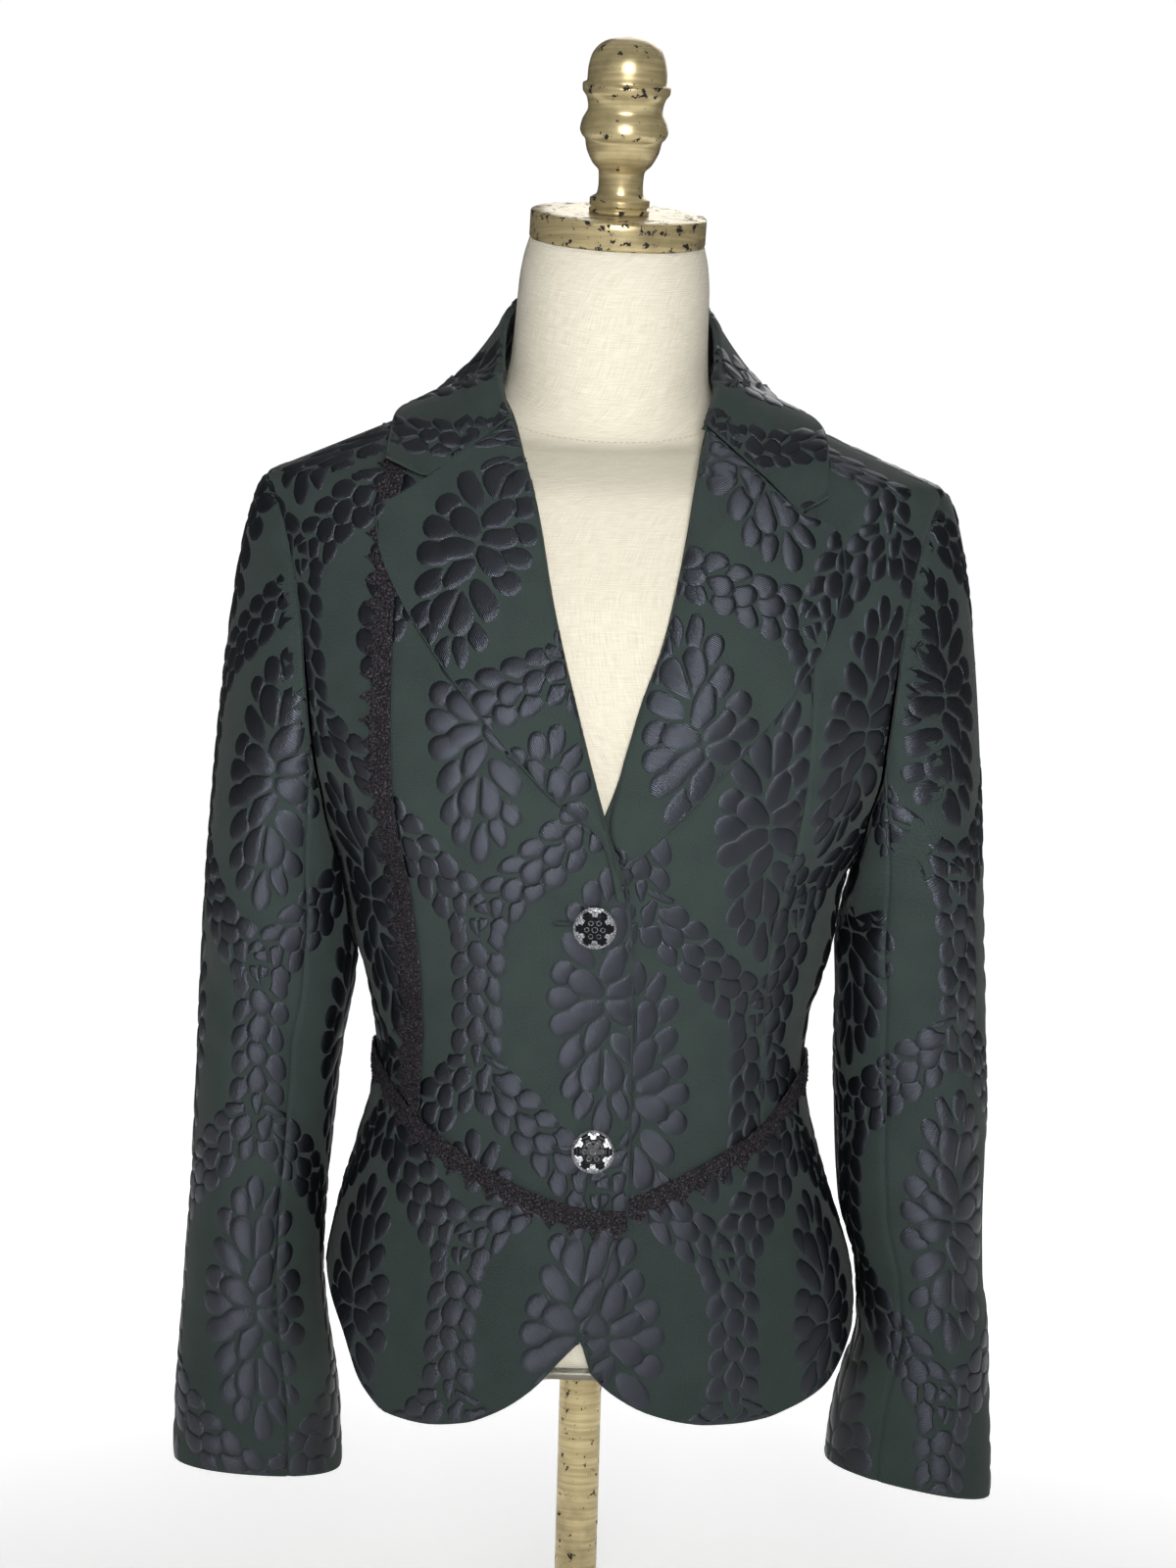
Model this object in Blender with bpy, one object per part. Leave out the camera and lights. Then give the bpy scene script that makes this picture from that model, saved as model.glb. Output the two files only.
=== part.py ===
"""Jacquard jacket, cut in shaped panels, on a limbless dress form.

+Z is up, the front faces -Y and the wearer's left is +X.  The origin is the middle of
the underside of the stand.  Every cloth piece is a thin wall between an outer and an
inner sheet.  Body panels are patches of one body surface, whose places are given by an
angle (0 at the centre front, +90 degrees at the wearer's left side, 180 at the centre
back) and a height.  Lengths are metres.
"""
import math

import bmesh
import bpy
from mathutils import Vector

# ---- driving sizes -------------------------------------------------------------------
CLOTH = 0.0016            # thickness of the jacquard
LACE_CLOTH = 0.0010       # thickness of the lace
SEAM_PULL = 0.00022       # each edge stops this far short of its seam
ROUNDNESS = 2.25          # exponent of the body's rings, 2 is an ellipse
FORM_CLEARANCE = 0.0070   # from the jacket's outer surface in to the form
FORM_DROP = 0.0075        # the form's shoulders lie this far below the jacket's

WAIST_SIDE = 0.392        # height of the waist seam at the side seams
UNDERARM = 0.505          # height of the underarm point
SHOULDER_TIP = (0.1975, 0.728)    # half width and height of the shoulder point
NECK_POINT = (0.0660, 0.7843)     # half width and height where shoulder meets neck
HEM_SIDE = {-1: 0.268, 1: 0.243}    # height of the hem at each side seam
HEM_BACK = 0.226          # height of the hem at the centre back
HIP_SWAY = (0.003, 0.260, 0.330)    # the hips lie this far to the wearer's left, between
                                    # a full sway and none at these heights

FRONT_COLUMNS = 7         # quads across a centre front, and across its shoulder seam
SIDE_COLUMNS = 4          # quads across a side front
PEPLUM_ROWS = 7
SIDE_SEAM_ROWS = 6        # rows from the waist seam to the underarm
ARMHOLE_ROWS = 10         # rows from the underarm to the shoulder point
PANEL_ROWS = SIDE_SEAM_ROWS + ARMHOLE_ROWS
NECKLINE_ROWS = 4         # of a back panel's rows, those that follow its neckline

# Body rings: height, half width, depth of the front, depth of the back.
BODY_RINGS = (
    (0.190, 0.1570, 0.1285, 0.1200),
    (0.225, 0.1570, 0.1280, 0.1190),
    (0.250, 0.1565, 0.1265, 0.1165),
    (0.270, 0.1545, 0.1245, 0.1130),
    (0.290, 0.1500, 0.1220, 0.1085),
    (0.310, 0.1445, 0.1195, 0.1035),
    (0.345, 0.1340, 0.1150, 0.0940),
    (0.370, 0.1280, 0.1115, 0.0875),
    (0.395, 0.1255, 0.1090, 0.0840),
    (0.420, 0.1290, 0.1105, 0.0850),
    (0.440, 0.1345, 0.1140, 0.0875),
    (0.465, 0.1415, 0.1190, 0.0910),
    (0.505, 0.1490, 0.1265, 0.0975),
    (0.530, 0.1620, 0.1295, 0.1010),
    (0.560, 0.1740, 0.1310, 0.1040),
    (0.600, 0.1850, 0.1300, 0.1065),
    (0.640, 0.1915, 0.1215, 0.1065),
    (0.680, 0.1960, 0.1060, 0.1030),
    (0.710, 0.1980, 0.0905, 0.0960),
    (0.728, 0.1985, 0.0800, 0.0930),
    (0.745, 0.1585, 0.0695, 0.0880),
    (0.765, 0.1112, 0.0590, 0.0810),
    (0.785, 0.0645, 0.0510, 0.0745),
    (0.800, 0.0600, 0.0490, 0.0700),
)

# Princess seam, from the waist up to the shoulder: height, half width.
PRINCESS = (
    (0.345, 0.0985), (0.400, 0.0980), (0.440, 0.0990), (0.478, 0.1030), (0.500, 0.1070),
    (0.530, 0.1135), (0.560, 0.1175), (0.600, 0.1190), (0.660, 0.1190), (0.700, 0.1200),
    (0.728, 0.1165), (0.750, 0.1060), (0.7700, 0.0980),
)

# Armhole seam: height, half width on the front, half width on the back.
ARMHOLE = (
    (0.505, 0.1490, 0.1490),
    (0.509, 0.1510, 0.1510),
    (0.525, 0.1555, 0.1565),
    (0.550, 0.1600, 0.1625),
    (0.580, 0.1635, 0.1680),
    (0.610, 0.1665, 0.1720),
    (0.645, 0.1715, 0.1770),
    (0.680, 0.1785, 0.1835),
    (0.710, 0.1880, 0.1905),
    (0.728, 0.1975, 0.1975),
)

# Waist seam on the front: half width, height.
WAIST_FRONT = (
    (-0.030, 0.3160), (0.000, 0.3175), (0.020, 0.3220), (0.041, 0.3300), (0.064, 0.3415),
    (0.081, 0.3505), (0.097, 0.3600), (0.111, 0.3745), (0.1265, 0.3920),
)

# Front edge and neckline: height, distance from the centre towards the panel's side.
EDGE_RIGHT = (
    (0.3160, -0.0230), (0.360, -0.0235), (0.420, -0.0230), (0.470, -0.0215),
    (0.496, -0.0185), (0.538, -0.0050), (0.598, 0.0120), (0.657, 0.0273),
    (0.711, 0.0383), (0.740, 0.0470), (0.7620, 0.0535), (0.7843, 0.0660),
)
EDGE_LEFT = (
    (0.3160, -0.0180), (0.360, -0.0185), (0.420, -0.0185), (0.470, -0.0170),
    (0.500, -0.0100), (0.538, 0.0030), (0.561, 0.0115), (0.604, 0.0231),
    (0.642, 0.0357), (0.691, 0.0455), (0.735, 0.0520), (0.757, 0.0560), (0.7843, 0.0660),
)

# Front edge of each peplum and then its hem round to the side: height, distance.
PEPLUM_EDGE_RIGHT = (
    (0.3160, -0.0230), (0.2946, -0.0145), (0.2709, -0.0080), (0.2474, 0.0023),
)
PEPLUM_HEM_RIGHT = (
    (0.2474, 0.0023), (0.2359, 0.0134), (0.2210, 0.0267), (0.2070, 0.0460),
    (0.1985, 0.0660), (0.1952, 0.0894), (0.1973, 0.1113), (0.2036, 0.1202),
    (0.2130, 0.1282), (0.2246, 0.1334), (0.2359, 0.1381), (0.2474, 0.1443),
    (0.2600, 0.1500),
)
PEPLUM_EDGE_LEFT = (
    (0.3160, -0.0180), (0.2946, -0.0110), (0.2709, -0.0055), (0.2480, -0.0010),
)
PEPLUM_HEM_LEFT = (
    (0.2480, -0.0010), (0.2321, 0.0037), (0.2239, 0.0110), (0.2158, 0.0222),
    (0.2085, 0.0367), (0.2030, 0.0578), (0.2012, 0.0717), (0.2010, 0.0863),
    (0.2022, 0.1044), (0.2053, 0.1176), (0.2094, 0.1311), (0.2148, 0.1421),
    (0.2236, 0.1497), (0.2329, 0.1556),
)

# Lapels, from the break up to the lapel's tip, then its top edge in to the notch:
# height, distance from the centre towards the panel's side.
LAPEL_OUTER_RIGHT = (
    (0.4975, -0.0130), (0.5285, -0.0041), (0.5548, 0.0264), (0.5907, 0.0597),
    (0.6326, 0.0933), (0.6640, 0.1140), (0.6850, 0.1235), (0.7012, 0.1268),
    (0.7081, 0.1278),
)
LAPEL_TOP_RIGHT = ((0.7081, 0.1278), (0.7140, 0.1140), (0.7240, 0.0975))
LAPEL_OUTER_LEFT = (
    (0.5160, 0.0185), (0.5355, 0.0384), (0.5578, 0.0593), (0.5965, 0.0921),
    (0.6220, 0.1114), (0.6500, 0.1270), (0.6800, 0.1328), (0.6990, 0.1310),
)
LAPEL_TOP_LEFT = ((0.6990, 0.1310), (0.7045, 0.1240), (0.7095, 0.1065))
LAPEL_BREAK_LEFT = (0.5160, 0.0140)
LAPEL_TURN_LEFT = (0.5380, 0.0078)   # where it passes the wearer's right front
GORGE_ROLL = {-1: (0.7575, 0.0535), 1: (0.7545, 0.0560)}     # height, half width
LAPEL_COLUMNS = 6
LAPEL_ROWS = 12
LAPEL_LIFT = 0.0051       # of a lapel's edges above the front
LAPEL_BELLY = 0.0030      # extra lift in the middle of a lapel

# Collar, fold line from its front end to the centre back: half width, depth, height.
COLLAR_ROLL = (
    (0.0545, -0.0600, 0.7620), (0.0595, -0.0380, 0.7800), (0.0620, -0.0140, 0.7985),
    (0.0625, 0.0110, 0.8160), (0.0585, 0.0370, 0.8300), (0.0460, 0.0580, 0.8390),
    (0.0240, 0.0720, 0.8425), (0.0000, 0.0765, 0.8435),
)
# Collar, outer edge from its tip to the centre back.
COLLAR_EDGE = {
    -1: ((0.1231, -0.0760, 0.7383), (0.1225, -0.0400, 0.7570), (0.1175, -0.0080, 0.7660),
         (0.1120, 0.0220, 0.7720), (0.1000, 0.0480, 0.7745), (0.0800, 0.0690, 0.7730),
         (0.0420, 0.0900, 0.7680), (0.0000, 0.0930, 0.7660)),
    1: ((0.1246, -0.0780, 0.7230), (0.1225, -0.0400, 0.7480), (0.1150, -0.0060, 0.7660),
        (0.1100, 0.0220, 0.7720), (0.1000, 0.0480, 0.7745), (0.0800, 0.0690, 0.7730),
        (0.0420, 0.0900, 0.7680), (0.0000, 0.0930, 0.7660)),
}
COLLAR_NOTCH = {-1: (0.0975, 0.7275), 1: (0.1065, 0.7130)}   # half width, height
COLLAR_COLUMNS = 13       # from a front end to the centre back
COLLAR_ROWS = 6
COLLAR_HOLLOW = 0.0060    # how far the fall hollows towards the neck
COLLAR_LIFT = 0.0054      # least height of the collar above the body

# Sleeve sections: height, outer x, inner x, front y, back y.
SLEEVE_SECTIONS = {
    -1: ((0.460, 0.2290, 0.1370, -0.0620, 0.0600), (0.430, 0.2300, 0.1400, -0.0610, 0.0590),
         (0.395, 0.2306, 0.1460, -0.0590, 0.0560), (0.360, 0.2314, 0.1492, -0.0580, 0.0530),
         (0.310, 0.2328, 0.1530, -0.0580, 0.0480), (0.270, 0.2347, 0.1545, -0.0590, 0.0420),
         (0.240, 0.2360, 0.1520, -0.0600, 0.0370), (0.200, 0.2378, 0.1445, -0.0605, 0.0270),
         (0.178, 0.2385, 0.1415, -0.0600, 0.0200), (0.148, 0.2385, 0.1400, -0.0590, 0.0140)),
    1: ((0.460, 0.2290, 0.1420, -0.0620, 0.0600), (0.430, 0.2313, 0.1435, -0.0610, 0.0590),
        (0.395, 0.2330, 0.1440, -0.0590, 0.0560), (0.360, 0.2343, 0.1452, -0.0580, 0.0530),
        (0.310, 0.2340, 0.1490, -0.0580, 0.0480), (0.270, 0.2350, 0.1605, -0.0590, 0.0420),
        (0.240, 0.2385, 0.1622, -0.0600, 0.0370), (0.200, 0.2408, 0.1520, -0.0605, 0.0270),
        (0.178, 0.2419, 0.1480, -0.0600, 0.0200), (0.150, 0.2430, 0.1450, -0.0590, 0.0140)),
}
CUFF_TILT = {-1: 0.04, 1: -0.20}      # rise of the cuff's edge per metre outwards
SLEEVE_SPREAD = math.radians(16)   # how far the cap's lines lean towards the outside
SLEEVE_LEAD = 0.25        # how far the cap follows its direction at the seam
SLEEVE_CAP_ROWS = 8       # rows from the armhole down to the first section
SLEEVE_LOWER_ROWS = 11
FRONT_SLEEVE_SEAM = 7     # armhole columns from the shoulder point to the front seam
SLEEVE_FULLNESS = 0.90    # 1 is an ellipse, less is squarer
SLEEVE_CLEARANCE = 0.0022   # between the sleeve and the body beside it
SLEEVE_TURN_BACK = 0.0012   # lift at the armhole where the sleeve turns back down

# Soft folds: side of the body, ends as (half width, height), half width of the fold
# and its depth.  A positive depth is a trough.
BODY_FOLDS = (
    (1, (0.150, 0.540), (0.108, 0.475), 0.011, 0.0035),
    (1, (0.146, 0.498), (0.112, 0.440), 0.010, 0.0030),
    (-1, (0.150, 0.545), (0.118, 0.500), 0.012, 0.0025),
)
# Sleeve folds: side, ends as (turn from outside to front in degrees, height), half
# width, depth.
SLEEVE_FOLDS = (
    (-1, (95, 0.560), (150, 0.470), 0.014, 0.0035),
    (-1, (40, 0.440), (130, 0.400), 0.014, 0.0025),
    (1, (90, 0.560), (145, 0.480), 0.014, 0.0035),
    (1, (50, 0.420), (130, 0.375), 0.014, 0.0025),
)

LACE_WIDTH = 0.0165
LACE_PITCH = 0.0150       # from one point of the lace to the next
LACE_POINT = 0.0050       # depth of the points
LACE_LIFT = 0.0028        # top of the lace above the cloth
LACE_SEAM_OVERLAP = 0.0040

BUTTON_RADIUS = 0.0120
BUTTON_PLACES = (("button_upper", 0.0005, 0.4811), ("button_lower", 0.0030, 0.3535))
BUTTON_LOBES = 6

FORM_BOTTOM = 0.2015      # lowest level of the form's underside
FORM_EDGE = 0.010         # radius of the round below its sides
FORM_ARCH = (0.0205, 0.014, 0.067)    # rise of its middle, flat out to, gone at
NECK_RADIUS = 0.0560
NECK_TILT = math.radians(11)       # the neck leans forward
NECK_LEAN = math.radians(2)        # and a little to the wearer's left
CAP_TOP = Vector((0.0031, -0.0120, 0.8810))
CAP_RADIUS = 0.0508
CAP_HEIGHT = 0.0160
# Finial, turned: radius, height above the cap.
FINIAL = (
    (0.0170, 0.0003), (0.0175, 0.0022), (0.0160, 0.0034), (0.0173, 0.0050), (0.0173, 0.0080),
    (0.0135, 0.0110), (0.0128, 0.0165), (0.0132, 0.0235), (0.0170, 0.0280), (0.0210, 0.0360),
    (0.0222, 0.0415), (0.0240, 0.0435), (0.0253, 0.0470), (0.0245, 0.0520), (0.0214, 0.0590),
    (0.0226, 0.0650), (0.0251, 0.0690), (0.0253, 0.0725), (0.0228, 0.0745), (0.0227, 0.0800),
    (0.0213, 0.0880), (0.0165, 0.0950), (0.0090, 0.0985),
)
FINIAL_TOP = 0.0997
POLE_RADIUS = 0.0125
BASE_RADIUS = 0.1350
BASE_HEIGHT = 0.0220

# ---- finishes ------------------------------------------------------------------------
FINISHES = {     # name: red, green, blue, roughness, metallic
    "jacquard": (0.022, 0.030, 0.028, 0.80, 0.0),
    "lace": (0.006, 0.005, 0.006, 0.90, 0.0),
    "button_gloss": (0.010, 0.010, 0.012, 0.25, 0.0),
    "linen": (0.760, 0.700, 0.590, 0.85, 0.0),
    "antique_gold": (0.400, 0.300, 0.140, 0.35, 0.6),
}


def finish(name):
    """The named finish as a material."""
    material = bpy.data.materials.get(name)
    if material is None:
        red, green, blue, roughness, metallic = FINISHES[name]
        material = bpy.data.materials.new(name)
        material.use_nodes = True
        shader = material.node_tree.nodes["Principled BSDF"]
        shader.inputs["Base Color"].default_value = (red, green, blue, 1.0)
        shader.inputs["Roughness"].default_value = roughness
        shader.inputs["Metallic"].default_value = metallic
    return material


# ---- curves through tables -------------------------------------------------------------
def slopes(places, values):
    """Slopes of a smooth curve through the values that never overshoots them."""
    count = len(places)
    chords = [(values[i + 1] - values[i]) / (places[i + 1] - places[i])
              for i in range(count - 1)]
    found = [chords[0]]
    for before, after in zip(chords, chords[1:]):
        found.append(0.0 if before * after <= 0.0 else 2 * before * after / (before + after))
    return found + [chords[-1]]


def between(places, values, place):
    """Value at a place along the smooth curve through the values."""
    place = min(max(place, places[0]), places[-1])
    index = max(i for i in range(len(places) - 1) if places[i] <= place)
    tangents = slopes(places, values)
    span = places[index + 1] - places[index]
    t = (place - places[index]) / span
    return ((2 * t**3 - 3 * t**2 + 1) * values[index]
            + (t**3 - 2 * t**2 + t) * span * tangents[index]
            + (3 * t**2 - 2 * t**3) * values[index + 1]
            + (t**3 - t**2) * span * tangents[index + 1])


def column(table, index):
    return [row[index] for row in table]


def along(points, steps, smooth=True):
    """Steps + 1 points spaced evenly along a curve through the points."""
    lengths = [0.0]
    for start, end in zip(points, points[1:]):
        lengths.append(lengths[-1] + math.dist(start, end))
    result = []
    for step in range(steps + 1):
        place = lengths[-1] * step / steps
        if smooth and len(points) > 2:
            result.append(tuple(between(lengths, column(points, axis), place)
                                for axis in range(len(points[0]))))
        else:
            index = max(i for i in range(len(points) - 1) if lengths[i] <= place + 1e-12)
            t = (place - lengths[index]) / (lengths[index + 1] - lengths[index])
            result.append(tuple(a + (b - a) * t
                                for a, b in zip(points[index], points[index + 1])))
    return result


# ---- the body's surface ----------------------------------------------------------------
RING_HEIGHTS = column(BODY_RINGS, 0)


def sway(height):
    """How far the body's middle lies to the wearer's left at a height."""
    most, full, none = HIP_SWAY
    share = min(max((none - height) / (none - full), 0.0), 1.0)
    return most * share * share * (3 - 2 * share)


def body_ring(height):
    """Half width, depth of the front and depth of the back at a height."""
    tip_width, tip_height = SHOULDER_TIP
    neck_width, neck_height = NECK_POINT
    if tip_height <= height <= neck_height:
        share = (height - tip_height) / (neck_height - tip_height)
        width = tip_width + (neck_width - tip_width) * share
    else:
        width = between(RING_HEIGHTS, column(BODY_RINGS, 1), height)
    return (width, between(RING_HEIGHTS, column(BODY_RINGS, 2), height),
            between(RING_HEIGHTS, column(BODY_RINGS, 3), height))


def angle_at(x, height, back=False):
    """Angle of the body point that lies x to the wearer's left at a height."""
    width = body_ring(height)[0]
    x -= sway(height)
    share = min(abs(x) / width, 1.0) ** (ROUNDNESS / 2)
    angle = math.copysign(math.asin(share), x)
    return math.copysign(math.pi, x) - angle if back else angle


def ridge(place, start, end, reach):
    """How strongly a fold from start to end is felt at a place, 0 to 1."""
    run = (end[0] - start[0], end[1] - start[1])
    length_squared = run[0] ** 2 + run[1] ** 2
    t = ((place[0] - start[0]) * run[0] + (place[1] - start[1]) * run[1]) / length_squared
    middle = min(max(t, 0.0), 1.0)
    gap = math.dist(place, (start[0] + run[0] * middle, start[1] + run[1] * middle))
    return math.exp(-(gap / reach) ** 2)


def body_point(angle, height, out=0.0):
    """Point of the body's surface, moved straight out from the form's axis by out."""
    width, front, back = body_ring(height)
    sine = math.sin(angle)
    cosine = math.cos(angle)
    power = 2 / ROUNDNESS
    x = width * math.copysign(abs(sine) ** power, sine)
    depth = front if cosine >= 0 else back
    y = -depth * math.copysign(abs(cosine) ** power, cosine)
    for side, start, end, reach, fall in BODY_FOLDS:
        if cosine > 0 and side * x > 0:
            out -= fall * ridge((abs(x), height), start, end, reach)
    if out:
        length = math.hypot(x / width, y / depth)
        x += out * x / width / length
        y += out * y / depth / length
    return Vector((x + sway(height), y, height))


def body_normal(angle, height):
    """Outward direction of the body's surface."""
    step = 1e-4
    across = body_point(angle + step, height) - body_point(angle - step, height)
    up = body_point(angle, height + step) - body_point(angle, height - step)
    return across.cross(up).normalized()


def raised(point, lift):
    """The point, moved out until it is at least lift above the body's surface."""
    point = Vector(point)
    step = 1e-4

    def level(place):
        width, front, back = body_ring(place.z)
        depth = front if place.y < 0 else back
        return ((abs(place.x - sway(place.z)) / width) ** ROUNDNESS
                + (abs(place.y) / depth) ** ROUNDNESS) ** (1 / ROUNDNESS)

    for _ in range(12):
        here = level(point)
        gradient = Vector([
            (level(point + axis * step) - level(point - axis * step)) / (2 * step)
            for axis in (Vector((1, 0, 0)), Vector((0, 1, 0)), Vector((0, 0, 1)))])
        if gradient.length < 1e-6:
            return point
        distance = (here - 1.0) / gradient.length
        if distance >= lift - 1e-5:
            return point
        point = point + gradient.normalized() * min(lift - distance, 0.01)
    return point


# ---- sheets and walls --------------------------------------------------------------------
def patch(bottom, right, top, left):
    """Rows of places filled in between four edges that share their corners."""
    columns = len(bottom) - 1
    rows = len(left) - 1
    grid = []
    for j in range(rows + 1):
        v = j / rows
        row = []
        for i in range(columns + 1):
            u = i / columns
            place = []
            for axis in range(2):
                sides = left[j][axis] * (1 - u) + right[j][axis] * u
                ends = bottom[i][axis] * (1 - v) + top[i][axis] * v
                corners = ((1 - u) * (1 - v) * bottom[0][axis] + u * (1 - v) * bottom[-1][axis]
                           + (1 - u) * v * top[0][axis] + u * v * top[-1][axis])
                place.append(sides + ends - corners)
            row.append(tuple(place))
        grid.append(row)
    return grid


def pulled_in(sheet, pull):
    """The sheet with its four edges pulled in, to leave room at the seams."""
    rows = len(sheet)
    columns = len(sheet[0])
    result = [list(row) for row in sheet]
    for i in range(columns):
        for j, beside in ((0, 1), (rows - 1, rows - 2)):
            result[j][i] = result[j][i] + (sheet[beside][i] - sheet[j][i]).normalized() * pull
    for j in range(rows):
        for i, beside in ((0, 1), (columns - 1, columns - 2)):
            run = sheet[j][beside] - sheet[j][i]
            if run.length > 1e-6:
                result[j][i] = result[j][i] + run.normalized() * pull
    return result


def sheet_normals(sheet):
    """Outward directions of a sheet whose rows run up and whose columns run to the
    right, as seen from outside."""
    rows = len(sheet)
    columns = len(sheet[0])
    result = []
    for j in range(rows):
        row = []
        for i in range(columns):
            across = sheet[j][min(i + 1, columns - 1)] - sheet[j][max(i - 1, 0)]
            up = sheet[min(j + 1, rows - 1)][i] - sheet[max(j - 1, 0)][i]
            row.append(across.cross(up).normalized())
        result.append(row)
    return result


def add_object(name, vertices, faces, finish_name, smooth_angle=50):
    mesh = bpy.data.meshes.new(name)
    mesh.from_pydata([tuple(v) for v in vertices], [], faces)
    mesh.validate()
    work = bmesh.new()
    work.from_mesh(mesh)
    bmesh.ops.triangulate(work, faces=work.faces)
    if work.calc_volume(signed=True) < 0:
        bmesh.ops.reverse_faces(work, faces=work.faces)
    work.to_mesh(mesh)
    work.free()
    mesh.shade_smooth()
    mesh.set_sharp_from_angle(angle=math.radians(smooth_angle))
    mesh.materials.append(finish(finish_name))
    piece = bpy.data.objects.new(name, mesh)
    bpy.context.scene.collection.objects.link(piece)
    return piece


def add_wall(name, outer, normals, thickness, finish_name="jacquard"):
    """A closed wall from its outer sheet, inward along the normals by its thickness."""
    rows = len(outer)
    columns = len(outer[0])
    inner = [[point - normal * thickness for point, normal in zip(points, directions)]
             for points, directions in zip(outer, normals)]
    vertices = [point for row in outer for point in row] + [p for row in inner for p in row]
    shift = rows * columns
    faces = []
    for j in range(rows - 1):
        for i in range(columns - 1):
            a = j * columns + i
            quad = (a, a + 1, a + columns + 1, a + columns)
            faces.append(quad)
            faces.append(tuple(shift + v for v in reversed(quad)))
    rim = ([i for i in range(columns)]
           + [j * columns + columns - 1 for j in range(1, rows)]
           + [(rows - 1) * columns + i for i in range(columns - 2, -1, -1)]
           + [j * columns for j in range(rows - 2, 0, -1)])
    for a, b in zip(rim, rim[1:] + rim[:1]):
        faces.append((b, a, shift + a, shift + b))
    return add_object(name, vertices, faces, finish_name)


def add_panel(name, places, out=None):
    """A body panel from its grid of (angle, height) places."""
    offset = out or (lambda angle, height: 0.0)
    outer = [[body_point(a, h, offset(a, h)) for a, h in row] for row in places]
    normals = [[body_normal(a, h) for a, h in row] for row in places]
    return add_wall(name, pulled_in(outer, SEAM_PULL), normals, CLOTH)


# ---- seams, as lists of (angle, height) on one side of the body --------------------------
def on_front(side, rows, steps, smooth=True):
    """Places along a table of (height, half width), on one side of the front."""
    flat = along([(half_width, height) for height, half_width in rows], steps, smooth)
    return [(angle_at(side * half_width, height), height) for half_width, height in flat]


def waist_height(x):
    """Height of the waist seam on the front, x from the centre."""
    return between(column(WAIST_FRONT, 0), column(WAIST_FRONT, 1), x)


def waist_front(side, start, end, steps):
    """Waist seam on the front between two half widths."""
    widths = [start + (end - start) * step / steps for step in range(steps + 1)]
    places = []
    for half_width in widths:
        height = waist_height(half_width)
        places.append((angle_at(side * half_width, height), height))
    return places


def princess_x(height):
    return between(column(PRINCESS, 0), column(PRINCESS, 1), height)


def princess_foot():
    """Half width and height where the princess seam meets the waist seam."""
    half_width = PRINCESS[0][1]
    for _ in range(5):
        half_width = princess_x(waist_height(half_width))
    return half_width, waist_height(half_width)


def princess_head():
    """Half width and height where the princess seam meets the shoulder seam."""
    height = SHOULDER_TIP[1]
    for _ in range(40):
        height = shoulder_height(princess_x(height))
    return princess_x(height), height


def shoulder_height(half_width):
    (tip_width, tip_height), (neck_width, neck_height) = SHOULDER_TIP, NECK_POINT
    return tip_height + (tip_width - half_width) * (neck_height - tip_height) / (
        tip_width - neck_width)


def shoulder(side, start, end, steps):
    """Shoulder seam between two half widths, from the neck outwards."""
    widths = [start + (end - start) * step / steps for step in range(steps + 1)]
    return [(side * math.pi / 2, shoulder_height(half_width)) for half_width in widths]


def princess(side):
    foot_width, foot_height = princess_foot()
    head_width, head_height = princess_head()
    rows = [(foot_height, foot_width)]
    rows += [row for row in PRINCESS if foot_height + 0.01 < row[0] < head_height - 0.01]
    rows.append((head_height, head_width))
    places = on_front(side, rows, PANEL_ROWS)
    places[-1] = (side * math.pi / 2, head_height)
    return places


def armhole(side, back=False):
    """Armhole seam from the underarm up to the shoulder point."""
    widths = column(ARMHOLE, 2 if back else 1)
    flat = along([(half_width, row[0]) for half_width, row in zip(widths, ARMHOLE)],
                 ARMHOLE_ROWS)
    places = [(angle_at(side * half_width, height, back), height)
              for half_width, height in flat]
    places[0] = (side * math.pi / 2, UNDERARM)
    places[-1] = (side * math.pi / 2, SHOULDER_TIP[1])
    return places


def side_seam(side):
    """Side seam from the waist seam up to the underarm."""
    rise = (UNDERARM - WAIST_SIDE) / SIDE_SEAM_ROWS
    return [(side * math.pi / 2, WAIST_SIDE + rise * step)
            for step in range(SIDE_SEAM_ROWS + 1)]


EDGES = {-1: EDGE_RIGHT, 1: EDGE_LEFT}
PEPLUM_EDGES = {-1: PEPLUM_EDGE_RIGHT, 1: PEPLUM_EDGE_LEFT}
PEPLUM_HEMS = {-1: PEPLUM_HEM_RIGHT, 1: PEPLUM_HEM_LEFT}
SIDE_NAMES = {-1: "right", 1: "left"}


def under_offset(side):
    """The wearer's left front passes under the right one round the centre."""
    if side < 0:
        return None

    def offset(angle, height):
        x = body_point(angle, height).x
        under = min(max((0.062 - x) / 0.032, 0.0), 1.0)
        return -0.0027 * under * under * (3 - 2 * under)
    return offset


def across(side, edges):
    """The four edges in the order that keeps columns running towards +X."""
    bottom, outer, top, inner = edges
    if side > 0:
        return bottom, outer, top, inner
    return bottom[::-1], inner, top[::-1], outer


def front_places(side):
    foot_width = princess_foot()[0]
    head_width = princess_head()[0]
    start = EDGES[side][0][1]
    bottom = waist_front(side, start, foot_width, FRONT_COLUMNS)
    top = shoulder(side, NECK_POINT[0], head_width, FRONT_COLUMNS)
    inner = on_front(side, ((bottom[0][1], start),) + EDGES[side][1:], PANEL_ROWS)
    inner[0] = bottom[0]
    inner[-1] = top[0]
    return patch(*across(side, (bottom, princess(side), top, inner)))


def side_front_places(side):
    foot_width = princess_foot()[0]
    bottom = waist_front(side, foot_width, body_ring(WAIST_SIDE)[0], SIDE_COLUMNS)
    bottom[-1] = (side * math.pi / 2, WAIST_SIDE)
    top = shoulder(side, princess_head()[0], SHOULDER_TIP[0], SIDE_COLUMNS)
    outer = side_seam(side) + armhole(side)[1:]
    return patch(*across(side, (bottom, outer, top, princess(side))))


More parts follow.
